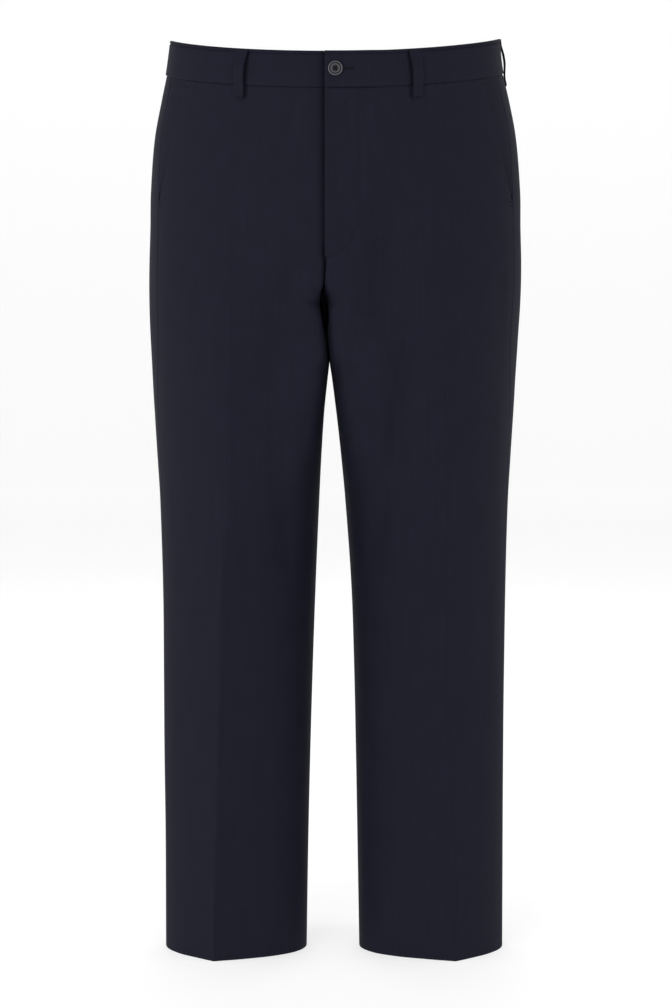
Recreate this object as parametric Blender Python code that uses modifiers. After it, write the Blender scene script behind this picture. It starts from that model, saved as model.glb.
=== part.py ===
"""Dress trousers, filled out as when worn, with an open waist and open hems.

Metres, +Z up, the front faces -Y and the wearer's left is at +X. The origin is the
centre of the waist, half way up the waistband. Every cloth piece follows one surface:
a closed section at each height, worked out from the table PROFILE, on which a place is
named by its side, by how far round it lies and by its height.
"""
import math
from collections import namedtuple

import bmesh
import bpy
from mathutils import Matrix, Vector

COLLECTION = "dress_pants"

# Heights
RIM_Z = 0.0205
WAIST_SEAM_Z = -0.0190
POCKET_END_Z = -0.1630
FLY_CURVE_Z = -0.1720
FLY_END_Z = -0.2225
FORK_Z = -0.2780
HEM_Z = -1.0200

# Cloth
CLOTH = 0.0014
FLY_CLOTH = 0.0010
GAP = 0.0003
HALF_GAP = GAP / 2
SEAM_STRIP = 0.0020

# How the waist and the crotch are shaped
FRONT_DIP = 0.0203
BACK_DIP = 0.0020
LEFT_RISE = 0.0020
DIP_POWER = 1.4
DIP_FADE_Z = -0.2000
HIP_POWER = 2.2
LEG_STARTS_Z = -0.1500
LEG_IS_FULL_Z = -0.3700
FRONT_CROTCH_RISE = 0.0500
BACK_CROTCH_RISE = 0.1400
FRONT_CROTCH_SLOPE = 1.5000
BACK_CROTCH_SLOPE = 1.1000
FORK_EASE = 0.0240
FORK_SOFTENING = 0.0070
FORK_SOFT_NEAR = 0.0300
FORK_SOFT_FAR = 0.0700
BACK_CREASE_INSET = 0.0140
FORK_Y = 0.0080
FORK_SETTLES_Z = -0.4200
THIGH_SQUARENESS = 0.7500
THIGH_SQUARE_TO_Z = -0.3600
THIGH_ROUND_FROM_Z = -0.5600

# Waistband, fly and button
BAND_LAP_X = -0.0112
BAND_UNDERLAP_X = 0.0240
LAP_ENDS = 0.3400
LAP_SETTLES = 0.5600
FLY_STITCH_X = 0.0265
BUTTON_X = 0.0002
BUTTON_Z = -0.0199
BUTTON_RADIUS = 0.0080
BUTTON_HOLE_RADIUS = 0.0009
BUTTON_HOLE_SPREAD = 0.0017
BUTTONHOLE_LENGTH = 0.0225
BUTTONHOLE_HEIGHT = 0.0026
SHANK_RADIUS = 0.0009

# Pocket mouths
POCKET_TOP_X = 0.1655
FACING_TUCK = 0.0180
FACING_SETTLES = 0.0080
FACING_CLEARANCE = 0.0006

LOOP_WIDTH = 0.0115

RIGHT = -1
LEFT = 1

# One row for each section. out and inn are the outermost and innermost x of each leg,
# crease is where the pressed crease lies, front and back are the depths of the section,
# and ridge_in and ridge_out are the slopes in degrees on either side of the crease.
# seam_in is how far the side seam lies inside the outline.
Section = namedtuple("Section", "z right_out left_out right_inn left_inn right_crease left_crease "
                     "front back ridge_in ridge_out seam_in")
PROFILE = (
    Section(0.0205, -0.1849, 0.1851, -0.0055, -0.0055, -0.1040, 0.1010, 0.1300, 0.1260, 0, 0, 0.007),
    Section(0.0000, -0.1876, 0.1865, -0.0055, -0.0055, -0.1050, 0.1020, 0.1325, 0.1290, 0, 0, 0.007),
    Section(-0.0190, -0.1905, 0.1894, -0.0055, -0.0055, -0.1060, 0.1030, 0.1340, 0.1320, 0, 0, 0.008),
    Section(-0.0450, -0.1960, 0.1957, -0.0055, -0.0055, -0.1075, 0.1045, 0.1350, 0.1385, 0, 0, 0.009),
    Section(-0.0900, -0.2044, 0.2046, -0.0055, -0.0055, -0.1100, 0.1080, 0.1365, 0.1490, 0, 0, 0.010),
    Section(-0.1500, -0.2090, 0.2103, -0.0055, -0.0055, -0.1130, 0.1120, 0.1365, 0.1580, 0, 0, 0.012),
    Section(-0.1900, -0.2097, 0.2110, -0.0055, -0.0055, -0.1140, 0.1140, 0.1350, 0.1600, 2, 6, 0.012),
    Section(-0.2250, -0.2108, 0.2118, -0.0095, -0.0095, -0.1150, 0.1150, 0.1320, 0.1570, 3, 8, 0.012),
    Section(-0.2500, -0.2114, 0.2117, -0.0112, -0.0112, -0.1155, 0.1160, 0.1290, 0.1520, 4, 10, 0.012),
    Section(-0.2780, -0.2115, 0.2107, -0.0120, -0.0120, -0.1160, 0.1170, 0.1260, 0.1450, 5, 12, 0.012),
    Section(-0.3050, -0.2110, 0.2090, -0.0103, -0.0103, -0.1165, 0.1180, 0.1230, 0.1370, 5, 14, 0.012),
    Section(-0.3300, -0.2098, 0.2075, -0.0078, -0.0078, -0.1168, 0.1187, 0.1203, 0.1309, 6, 15, 0.011),
    Section(-0.3420, -0.2092, 0.2067, -0.0066, -0.0064, -0.1170, 0.1190, 0.1190, 0.1280, 6, 16, 0.010),
    Section(-0.3600, -0.2083, 0.2056, -0.0084, -0.0036, -0.1175, 0.1195, 0.1170, 0.1240, 6, 17, 0.008),
    Section(-0.4000, -0.2060, 0.2036, -0.0125, 0.0015, -0.1183, 0.1200, 0.1125, 0.1165, 8, 20, 0.006),
    Section(-0.4500, -0.2032, 0.2007, -0.0157, 0.0069, -0.1193, 0.1212, 0.1070, 0.1100, 10, 23, 0.005),
    Section(-0.5000, -0.2005, 0.1981, -0.0181, 0.0116, -0.1207, 0.1225, 0.1020, 0.1050, 11, 26, 0.004),
    Section(-0.6000, -0.1979, 0.1957, -0.0224, 0.0187, -0.1272, 0.1237, 0.0935, 0.0965, 13, 30, 0.004),
    Section(-0.7000, -0.1974, 0.1948, -0.0259, 0.0220, -0.1294, 0.1246, 0.0875, 0.0895, 14, 33, 0.004),
    Section(-0.8000, -0.1973, 0.1944, -0.0288, 0.0241, -0.1325, 0.1284, 0.0840, 0.0850, 15, 36, 0.004),
    Section(-0.9000, -0.1966, 0.1941, -0.0311, 0.0259, -0.1352, 0.1355, 0.0812, 0.0815, 16, 39, 0.004),
    Section(-1.0200, -0.1966, 0.1944, -0.0330, 0.0280, -0.1381, 0.1372, 0.0793, 0.0790, 17, 41, 0.004),
)

# Soft troughs in the cloth, each a straight run seen from the front or the back. A
# negative depth is a ridge.
Fold = namedtuple("Fold", "face x_top z_top x_low z_low width depth")
FOLDS = (
    Fold("front", 0.0530, -0.1150, 0.0470, -0.2100, 0.0200, 0.0016),
    Fold("front", 0.0480, -0.2200, 0.0400, -0.2750, 0.0230, 0.0022),
    Fold("front", 0.0730, -0.3250, 0.0640, -0.4300, 0.0200, 0.0030),
    Fold("front", 0.0610, -0.4500, 0.0400, -0.5700, 0.0210, 0.0030),
    Fold("front", -0.0480, -0.2450, -0.0720, -0.3600, 0.0200, 0.0026),
    Fold("front", -0.0620, -0.4200, -0.0560, -0.5600, 0.0200, 0.0022),
    Fold("back", -0.0400, -0.2950, -0.1500, -0.3350, 0.0230, 0.0036),
    Fold("back", 0.0350, -0.2900, 0.1450, -0.3450, 0.0220, 0.0040),
    Fold("back", -0.0600, -0.3700, -0.1600, -0.4000, 0.0200, 0.0020),
    Fold("back", 0.0600, -0.3850, 0.1500, -0.4200, 0.0210, 0.0024),
    Fold("back", -0.0700, -0.5100, -0.1600, -0.5350, 0.0210, 0.0024),
    Fold("back", 0.0700, -0.5250, 0.1500, -0.5150, 0.0200, 0.0020),
)

# The heights of the rows of the four panels, closest together round the fork.
PANEL_ROWS = (
    -0.0320, -0.0460, -0.0620, -0.0800, -0.0990, -0.1190, -0.1400, POCKET_END_Z, -0.1850, -0.2030,
    -0.2180, -0.2310, -0.2430, -0.2540, -0.2630, -0.2700, -0.2750, FORK_Z, -0.2820, -0.2890,
    -0.2990, -0.3110, -0.3260, -0.3430, -0.3620, -0.3830, -0.4080, -0.4400, -0.4780, -0.5200,
    -0.5650, -0.6130, -0.6640, -0.7180, -0.7750, -0.8350, -0.8960, -0.9580, HEM_Z,
)

# The waistband's cut: how far up the band, and how far out from the trousers' surface.
BandCut = namedtuple("BandCut", "up out")
BAND_CUT = (
    BandCut(0.000, 0.0007),
    BandCut(0.080, 0.0011),
    BandCut(0.500, 0.0012),
    BandCut(0.900, 0.0011),
    BandCut(0.975, 0.0006),
    BandCut(1.000, -0.0003),
    BandCut(0.975, -0.0012),
    BandCut(0.900, -0.0016),
    BandCut(0.500, -0.0016),
    BandCut(0.000, -0.0014),
)

# A belt loop from its top to its turned-under end: how far below the rim, how far its
# inner face stands off the surface, its thickness and how much wider it flares inward.
LoopRow = namedtuple("LoopRow", "drop stand_off thick flare")
LOOP_ROWS = (
    LoopRow(0.0004, 0.0016, 0.0013, 0.0045),
    LoopRow(0.0040, 0.0017, 0.0014, 0.0043),
    LoopRow(0.0090, 0.0024, 0.0014, 0.0028),
    LoopRow(0.0150, 0.0031, 0.0014, 0.0012),
    LoopRow(0.0220, 0.0034, 0.0014, 0.0003),
    LoopRow(0.0300, 0.0033, 0.0014, 0.0000),
    LoopRow(0.0370, 0.0027, 0.0014, 0.0000),
    LoopRow(0.0420, 0.0018, 0.0015, 0.0000),
    LoopRow(0.0470, 0.0008, 0.0020, 0.0000),
    LoopRow(0.0510, 0.0004, 0.0024, 0.0000),
    LoopRow(0.0530, 0.0004, 0.0018, 0.0000),
)

# Where each belt loop sits: the side, how far round, and which way it flares.
Loop = namedtuple("Loop", "name side x round flare_to")
LOOPS = (
    Loop("belt_loop_front_right", RIGHT, -0.1025, None, -1),
    Loop("belt_loop_front_left", LEFT, 0.0882, None, -1),
    Loop("belt_loop_side_right", RIGHT, None, 2.42, 0),
    Loop("belt_loop_side_left", LEFT, None, 2.01, 0),
    Loop("belt_loop_back_right", RIGHT, None, 2.98, 0),
    Loop("belt_loop_back_left", LEFT, None, 2.98, 0),
)

# The button's outline from its back to its front, as radius and height over its back.
Turn = namedtuple("Turn", "radius up")
BUTTON_TURN = (
    Turn(0.0000, 0.0036 - 0.0010),
    Turn(0.0042, 0.0036 - 0.0010),
    Turn(0.0047, 0.0036 - 0.0005),
    Turn(0.0056, 0.0036 - 0.0003),
    Turn(0.0064, 0.0036),
    Turn(0.0073, 0.0036 - 0.0003),
    Turn(0.0079, 0.0036 - 0.0011),
    Turn(BUTTON_RADIUS, 0.0036 - 0.0018),
    Turn(0.0074, 0.0006),
    Turn(0.0058, 0.0000),
    Turn(0.0000, 0.0000),
)

NAVY = (0.0156, 0.0160, 0.0252)
NAVY_DEEP = (0.0130, 0.0134, 0.0215)
BUTTON_COLOUR = (0.020, 0.021, 0.028)


def smooth_step(start, end, value):
    """Go smoothly from 0 at start to 1 at end."""
    t = min(1.0, max(0.0, (value - start) / (end - start)))
    return t * t * (3 - 2 * t)


def mix(a, b, share):
    """Lie between a and b."""
    return a + (b - a) * share


def profile_at(z):
    """The section at a height, on a smooth curve through the rows of PROFILE."""
    rows = PROFILE
    z = min(rows[0].z, max(rows[-1].z, z))
    k = 0
    while k < len(rows) - 2 and z < rows[k + 1].z:
        k += 1
    a, b = rows[k], rows[k + 1]
    before = rows[max(0, k - 1)]
    after = rows[min(len(rows) - 1, k + 2)]
    span = b.z - a.z
    t = (z - a.z) / span
    values = []
    for v0, v1, v2, v3 in zip(before, a, b, after):
        slope_a = (v2 - v0) / (b.z - before.z) * span
        slope_b = (v3 - v1) / (after.z - a.z) * span
        values.append((2 * t ** 3 - 3 * t ** 2 + 1) * v1 + (t ** 3 - 2 * t ** 2 + t) * slope_a
                      + (3 * t ** 2 - 2 * t ** 3) * v2 + (t ** 3 - t ** 2) * slope_b)
    return Section(*values)


def bend(p0, angle0, p1, angle1, t, square=1.0):
    """A point on the smooth bend from p0 to p1, which leaves and arrives at these angles.

    It is fuller at its middle the larger square is.
    """
    turning = abs((angle1 - angle0 + math.pi) % (2 * math.pi) - math.pi)
    reach = square * (p1 - p0).length / (3 * math.cos(turning / 4) ** 2)
    q0 = p0 + reach * Vector((math.cos(angle0), math.sin(angle0)))
    q1 = p1 - reach * Vector((math.cos(angle1), math.sin(angle1)))
    u = 1 - t
    return u ** 3 * p0 + 3 * u * u * t * q0 + 3 * u * t * t * q1 + t ** 3 * p1


def hip_point(width, depth, lean):
    """A point on the rounded hip section, where lean runs from 0 at the middle to a right angle."""
    x = width * math.sin(lean)
    rest = max(0.0, 1 - abs(math.sin(lean)) ** HIP_POWER)
    return Vector((x, depth * rest ** (1 / HIP_POWER)))


def hip_section(outer, inner, crease, depth, share):
    """The hip section from the centre seam at 0 past the crease at 1 to the side at 2."""
    start = math.asin(inner / outer)
    middle = math.asin(crease / outer)
    if share <= 1:
        return hip_point(outer, depth, mix(start, middle, share))
    return hip_point(outer, depth, mix(middle, math.pi / 2, share - 1))


def centre_share(start, crest, arrive, square, centre_x):
    """How far along the bend from start to crest it crosses the centre seam."""
    low, high = 0.0, 1.0
    for _ in range(30):
        middle = (low + high) / 2
        if bend(start, math.pi / 2, crest, arrive, middle, square).x < centre_x:
            low = middle
        else:
            high = middle
    return (low + high) / 2


def leg_section(outer, inner, crease, depth, ridges, height, slope, square, share):
    """A leg's section from the inseam at 0 past the crease at 1 to the side at 2.

    Above the fork the thigh would run on past the centre seam, so it is met there.
    """
    crest = Vector((crease, depth))
    if share > 1:
        side = Vector((outer, 0.0))
        return bend(crest, -math.radians(ridges[1]), side, -math.pi / 2, share - 1)
    past = slope * height ** 2 / (height + FORK_EASE) if height > 0 else 0.0
    start = Vector((inner - past, 0.0))
    arrive = math.radians(ridges[0])
    first = centre_share(start, crest, arrive, square, inner) if past > 0 else 0.0
    return bend(start, math.pi / 2, crest, arrive, mix(first, 1.0, share), square)


def exact_section(side, round_, z):
    """A place on one half's section, as seen from above, with x growing away from the middle.

    It goes from the front centre seam or inseam at 0 to the front crease at 1, the
    outermost point at 2, the back crease at 3 and the back centre seam or inseam at 4.
    """
    row = profile_at(z)
    outer = row.left_out if side == LEFT else -row.right_out
    inner = (row.left_inn if side == LEFT else -row.right_inn) + HALF_GAP
    crease = row.left_crease if side == LEFT else -row.right_crease
    height = z - FORK_Z
    leg = smooth_step(LEG_STARTS_Z, LEG_IS_FULL_Z, z)
    ridges = (row.ridge_in, row.ridge_out)
    square = 1 + THIGH_SQUARENESS * smooth_step(THIGH_ROUND_FROM_Z, THIGH_SQUARE_TO_Z, z)
    if round_ <= 2:
        share = round_
        thigh = 1 - smooth_step(0.0, FRONT_CROTCH_RISE, height)
        hip = hip_section(outer, inner, crease, row.front, share)
        tube = leg_section(outer, inner, crease, row.front, ridges, height, FRONT_CROTCH_SLOPE,
                           square, share)
    else:
        share = 4 - round_
        thigh = 1 - smooth_step(0.0, BACK_CROTCH_RISE, height)
        inner *= 1 - smooth_step(0.0, BACK_CROTCH_RISE, height)
        crease = mix(crease - BACK_CREASE_INSET, inner + outer - crease, leg)
        hip = hip_section(outer, inner, crease, row.back, share)
        tube = leg_section(outer, inner, crease, row.back, ridges[::-1], height, BACK_CROTCH_SLOPE,
                           square, share)
    point = hip.lerp(tube, mix(thigh, leg, min(1.0, share)))
    middle_y = FORK_Y * thigh * (1 - smooth_step(FORK_Z, FORK_SETTLES_Z, z)) * max(0.0, 1 - share)
    if round_ <= 2:
        point.y = -point.y
    return point + Vector((0.0, middle_y))


def section_point(side, round_, z):
    """A place on the section, averaged over a short height near the fork to soften it."""
    reach = FORK_SOFTENING * (1 - smooth_step(FORK_SOFT_NEAR, FORK_SOFT_FAR, abs(z - FORK_Z)))
    if reach <= 0.0:
        return exact_section(side, round_, z)
    total = Vector((0.0, 0.0))
    for step, weight in ((-3, 1), (-2, 6), (-1, 15), (0, 20), (1, 15), (2, 6), (3, 1)):
        total += weight / 64 * exact_section(side, round_, z + step * reach)
    return total


def fold_depth(x, y, z, depth):
    """How far the soft troughs press the cloth in at a point."""
    face = "front" if y < 0 else "back"
    facing = smooth_step(0.25, 0.75, abs(y) / depth)
    total = 0.0
    for fold in FOLDS:
        if fold.face != face:
            continue
        run = Vector((fold.x_low - fold.x_top, fold.z_low - fold.z_top))
        at = Vector((x - fold.x_top, z - fold.z_top))
        along = at.dot(run) / run.length_squared
        across = (at - run * min(1.0, max(0.0, along))).length / fold.width
        total += fold.depth * math.exp(-across * across)
    return total * facing


def surface(side, round_, z):
    """A point on the trousers' outer surface. Below 0 it runs on past the centre front."""
    if round_ < 0:
        return surface(-side, -round_, z)
    flat = section_point(side, round_, z)
    row = profile_at(z)
    x, y = side * flat.x, flat.y
    fade = smooth_step(DIP_FADE_Z, WAIST_SEAM_Z, z)
    if y < 0:
        dip = FRONT_DIP * (-y / row.front) ** DIP_POWER
        y += fold_depth(x, y, z, row.front)
    else:
        dip = BACK_DIP * (y / row.back) ** 2
        y -= fold_depth(x, y, z, row.back)
    rise = LEFT_RISE * smooth_step(0.0, row.left_out, x)
    return Vector((x, y, z + (rise - dip) * fade))


def outward(side, round_, z):
    """The direction that points out of the surface."""
    step = 0.004
    height = 0.0008
    low, high = round_ - step, min(4.0, round_ + step)
    if round_ >= 1.0:
        low = max(1.0, low)
    around = surface(side, high, z) - surface(side, low, z)
    upward = surface(side, round_, z + height) - surface(side, round_, z - height)
    return (side * around.cross(upward)).normalized()


def place(side, round_, z, lift):
    """A point at a distance outside the surface."""
    return surface(side, round_, z) + lift * outward(side, round_, z)


def round_at_x(side, z, x, low=0.0, high=2.0):
    """How far round the front the surface reaches x."""
    want = side * x
    for _ in range(40):
        middle = (low + high) / 2
        if section_point(side, middle, z).x < want:
            low = middle
        else:
            high = middle
    return (low + high) / 2


def nudge(side, round_, z, distance):
    """Move a distance round the section."""
    step = math.copysign(0.01, distance)
    speed = (surface(side, round_ + step, z) - surface(side, round_, z)).length / abs(step)
    return round_ + distance / speed


def side_seam(side, z):
    """How far round the side seam lies."""
    row = profile_at(z)
    outline = row.left_out if side == LEFT else row.right_out
    return round_at_x(side, z, outline - side * row.seam_in)


def pocket_edge(side, z):
    """How far round the front panel's edge lies: a straight slant down to the side seam."""
    share = smooth_pocket_share(z)
    seam = side_seam(side, z)
    if share >= 1.0:
        return seam
    seam_x = section_point(side, seam, z).x
    return min(seam, round_at_x(side, z, side * mix(POCKET_TOP_X, seam_x, share)))


def smooth_pocket_share(z):
    """How far down the pocket mouth a height is, from 0 at the waist seam to 1."""
    return min(1.0, max(0.0, (WAIST_SEAM_Z - z) / (WAIST_SEAM_Z - POCKET_END_Z)))


def spread(start, end, count):
    """Values at equal steps from start to end."""
    return [mix(start, end, k / count) for k in range(count + 1)]


def make_material(name, colour, roughness):
    """A plain finish for one piece."""
    material = bpy.data.materials.new(name)
    material.use_nodes = True
    shader = material.node_tree.nodes["Principled BSDF"]
    shader.inputs["Base Color"].default_value = (*colour, 1.0)
    shader.inputs["Roughness"].default_value = roughness
    shader.inputs["Metallic"].default_value = 0.0
    return material


def make_object(name, mesh, collection, colour, roughness):
    """Put a mesh in the collection with its own material."""
    piece = bpy.data.objects.new(name, mesh)
    collection.objects.link(piece)
    mesh.materials.append(make_material(name, colour, roughness))
    return piece


def sheet(name, rows, thickness, collection, colour=NAVY):
    """A cloth sheet: a loft through rows of points, thickened inward."""
    across = len(rows[0])
    points = [point for row in rows for point in row]
    faces = []
    for i in range(len(rows) - 1):
        for j in range(across - 1):
            a = i * across + j
            faces.append((a, a + 1, a + across + 1, a + across))
    mesh = bpy.data.meshes.new(name)
    mesh.from_pydata(points, [], faces)
    mesh.shade_smooth()
    piece = make_object(name, mesh, collection, colour, 0.85)
    solid = piece.modifiers.new("cloth thickness", "SOLIDIFY")
    solid.thickness = thickness
    solid.offset = -1.0
    return piece


def sweep(name, rings, collection, colour=NAVY):
    """A closed solid: a loft through rings of points, with its two ends capped."""
    around = len(rings[0])
    points = [point for ring in rings for point in ring]
    faces = []
    for i in range(len(rings) - 1):
        for j in range(around):
            a = i * around + j
            b = i * around + (j + 1) % around
            faces.append((a, b, b + around, a + around))
    faces.append(tuple(reversed(range(around))))
    last = (len(rings) - 1) * around
    faces.append(tuple(last + j for j in range(around)))
    mesh = bpy.data.meshes.new(name)
    mesh.from_pydata(points, [], faces)
    tidy = bmesh.new()
    tidy.from_mesh(mesh)
    bmesh.ops.recalc_face_normals(tidy, faces=tidy.faces)
    tidy.to_mesh(mesh)
    tidy.free()
    mesh.shade_smooth()
    return make_object(name, mesh, collection, colour, 0.85)


def facing_out(side, row):
    """Order a row of points so that the sheet's faces point out on either side."""
    return row if side == LEFT else row[::-1]


def front_panel(name, side, collection):
    """One front: centre seam and inseam to side seam, with a slanted pocket mouth."""
    rows = []
    for z in (WAIST_SEAM_Z - HALF_GAP, *PANEL_ROWS):
        start = nudge(side, 0.0, z, HALF_GAP)
        end = nudge(side, pocket_edge(side, z), z, -HALF_GAP)
        strip = nudge(side, start, z, SEAM_STRIP)
        last_strip = nudge(side, end, z, -SEAM_STRIP)
        places = [start] + spread(strip, 1.0, 8)[:-1] + spread(1.0, last_strip, 6) + [end]
        rows.append(facing_out(side, [surface(side, place_, z) for place_ in places]))
    return sheet(name, rows[::-1], CLOTH, collection)


def back_panel(name, side, collection):
    """One back: side seam to centre back seam and inseam."""
    rows = []
    for z in (WAIST_SEAM_Z - HALF_GAP, *PANEL_ROWS):
        start = nudge(side, side_seam(side, z), z, HALF_GAP)
        end = nudge(side, 4.0, z, -HALF_GAP)
        strip = nudge(side, start, z, SEAM_STRIP)
        last_strip = nudge(side, end, z, -SEAM_STRIP)
        places = [start] + spread(strip, 2.0, 2)[:-1] + spread(2.0, 3.0, 7)[:-1]
        places += spread(3.0, last_strip, 8) + [end]
        rows.append(facing_out(side, [surface(side, place_, z) for place_ in places]))
    return sheet(name, rows[::-1], CLOTH, collection)


def pocket_facing(name, side, collection):
    """The cloth that shows in a pocket mouth, tucked under the front panel's edge."""
    under = -(CLOTH + FACING_CLEARANCE)
    rows = []
    for z in (WAIST_SEAM_Z - HALF_GAP, *[row for row in PANEL_ROWS if row >= POCKET_END_Z]):
        seam = nudge(side, side_seam(side, z), z, -FACING_CLEARANCE)
        edge = pocket_edge(side, z)
        tucked = nudge(side, edge, z, -FACING_TUCK)
        shows = (surface(side, seam, z) - surface(side, edge, z)).length
        at_seam = under * (1 - smooth_step(0.0, FACING_SETTLES, shows))
        row = [place(side, tucked, z, under), place(side, mix(tucked, edge, 0.5), z, under)]
        for share in (0.0, 0.35, 0.7, 1.0):
            row.append(place(side, mix(edge, seam, share), z, mix(under, at_seam, share)))
        rows.append(facing_out(side, row))
    return sheet(name, rows[::-1], CLOTH, collection, NAVY_DEEP)


def fly_width_x(z):
    """Where the fly's curved stitching lies at a height."""
    if z >= FLY_CURVE_Z:
        return FLY_STITCH_X
    drop = min(0.995, (FLY_CURVE_Z - z) / (FLY_CURVE_Z - FLY_END_Z))
    return mix(BAND_LAP_X, FLY_STITCH_X, math.sqrt(1 - drop * drop))


def fly_placket(collection):
    """The lapped strip of the fly, from its folded edge to the curved stitching."""
    heights = spread(WAIST_SEAM_Z - HALF_GAP, FLY_CURVE_Z, 8)
    heights += [mix(FLY_CURVE_Z, FLY_END_Z, math.sin(math.pi / 2 * k / 7)) for k in range(1, 8)]
    lift = GAP + FLY_CLOTH
    rows = []
    for z in heights:
        start = -round_at_x(RIGHT, z, BAND_LAP_X)
        end = round_at_x(LEFT, z, fly_width_x(z)) if fly_width_x(z) > PROFILE[0].left_inn else 0.5 * start
        rows.append([place(LEFT, place_, z, lift) for place_ in spread(start, end, 5)])
    return sheet("fly_placket", rows[::-1], FLY_CLOTH, collection)


def band_ring(side, round_, lift):
    """The waistband's cut at one place."""
    ring = []
    for cut in BAND_CUT:
        z = mix(WAIST_SEAM_Z + HALF_GAP, RIM_Z, cut.up)
        ring.append(place(side, round_, z, cut.out + lift))
    return ring


def waistband(name, side, start_round, lap, collection):
    """Half of the waistband, from its end at the front to the centre back seam."""
    end = nudge(side, 4.0, 0.0, -HALF_GAP)
    places = spread(start_round, 0.0, 2)[:-1] + spread(0.0, 1.0, 9)[:-1] + spread(1.0, 2.0, 9)[:-1]
    places += spread(2.0, 3.0, 9)[:-1] + spread(3.0, end, 7)
    rings = []
    for place_ in places:
        lift = lap * (1 - smooth_step(LAP_ENDS, LAP_SETTLES, place_))
        rings.append(band_ring(side, place_, lift))
    return sweep(name, rings, collection)


def belt_loop(name, side, round_, flare_to, collection):
    """A belt loop, sewn at the rim and below the waist seam and clear of the band between."""
    rings = []
    for row in LOOP_ROWS:
        z = RIM_Z - row.drop
        middle = surface(side, round_, z)
        out = outward(side, round_, z)
        along = (nudged_point(side, round_, z) - middle).normalized()
        low = -LOOP_WIDTH / 2 - (row.flare if flare_to < 0 else 0.0)
        high = LOOP_WIDTH / 2
        near, far = row.stand_off, row.stand_off + row.thick
        crown = far + 0.0002
        ring = [middle + low * along + near * out, middle + high * along + near * out]
        ring += [middle + high * along + far * out, middle + mix(low, high, 0.5) * along + crown * out]
        ring.append(middle + low * along + far * out)
        rings.append(ring)
    return sweep(name, rings, collection)


def nudged_point(side, round_, z):
    """The surface point one millimetre further round."""
    return surface(side, nudge(side, round_, z, 0.001), z)


def button_frame():
    """Where the button sits on the waistband and which way it faces."""
    z = BUTTON_Z + FRONT_DIP
    round_ = round_at_x(LEFT, z, BUTTON_X)
    return surface(LEFT, round_, z), outward(LEFT, round_, z)


def cylinder(name, radius, length, segments, centre, axis):
    """A closed cylinder mesh about a centre."""
    mesh = bpy.data.meshes.new(name)
    build = bmesh.new()
    bmesh.ops.create_cone(build, cap_ends=True, segments=segments, radius1=radius,
                          radius2=radius, depth=length)
    turn = Vector((0, 0, 1)).rotation_difference(axis).to_matrix().to_4x4()
    bmesh.ops.transform(build, matrix=Matrix.Translation(centre) @ turn, verts=build.verts)
    build.to_mesh(mesh)
    build.free()
    return mesh


def cutter(name, mesh, collection):
    """An object that only cuts others."""
    tool = bpy.data.objects.new(name, mesh)
    collection.objects.link(tool)
    tool.hide_render = True
    tool.display_type = "WIRE"
    return tool


def cut(piece, tool):
    """Cut a tool's shape out of a piece."""
    boolean = piece.modifiers.new("cut", "BOOLEAN")
    boolean.operation = "DIFFERENCE"
    boolean.object = tool
    boolean.solver = "EXACT"


def buttonhole_cutter(collection):
    """A thin box through the upper layer of the lapped waistband."""
    seat, out = button_frame()
    mesh = bpy.data.meshes.new("buttonhole")
    build = bmesh.new()
    bmesh.ops.create_cube(build, size=1.0)
    size = Matrix.Diagonal((BUTTONHOLE_LENGTH, BUTTONHOLE_HEIGHT, 0.02, 1.0))
    turn = Vector((0, 0, 1)).rotation_difference(out).to_matrix().to_4x4()
    centre = seat + Vector((BUTTONHOLE_LENGTH / 2 - 0.0015, 0, 0))
    bmesh.ops.transform(build, matrix=Matrix.Translation(centre) @ turn @ size, verts=build.verts)
    build.to_mesh(mesh)
    build.free()
    return cutter("buttonhole_cutter", mesh, collection)


def waist_button(collection, cutters, lap):
    """A turned four-hole button in front of the lapped waistband, and its thread shank."""
    seat, out = button_frame()
    band_face = BAND_CUT[2].out
    back = seat + (lap + band_face + GAP) * out
    mesh = bpy.data.meshes.new("waist_button")
    points = [(turn.radius, 0.0, turn.up) for turn in BUTTON_TURN]
    mesh.from_pydata(points, [(k, k + 1) for k in range(len(points) - 1)], [])
    button = make_object("waist_button", mesh, collection, BUTTON_COLOUR, 0.3)
    screw = button.modifiers.new("turned", "SCREW")
    screw.steps = 28
    screw.render_steps = 28
    screw.use_merge_vertices = True
    screw.merge_threshold = 0.00001
    turn = Vector((0, 0, 1)).rotation_difference(out)
    button.rotation_mode = "QUATERNION"
    button.rotation_quaternion = turn
    button.location = back
    for k in range(4):
        angle = math.pi / 4 + k * math.pi / 2
        spot = Vector((BUTTON_HOLE_SPREAD * math.cos(angle), BUTTON_HOLE_SPREAD * math.sin(angle), 0))
        hole = cylinder(f"button_hole_{k + 1}", BUTTON_HOLE_RADIUS, 0.012, 10, back + turn @ spot, out)
        cut(button, cutter(f"button_hole_cutter_{k + 1}", hole, cutters))
    low = band_face + GAP
    high = lap + band_face
    shank = cylinder("button_shank", SHANK_RADIUS, high - low, 12, seat + (low + high) / 2 * out, out)
    shank.shade_smooth()
    make_object("button_shank", shank, collection, BUTTON_COLOUR, 0.8)
    return button


def new_collection(name):
    """An empty collection in the scene."""
    collection = bpy.data.collections.new(name)
    bpy.context.scene.collection.children.link(collection)
    return collection


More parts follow.
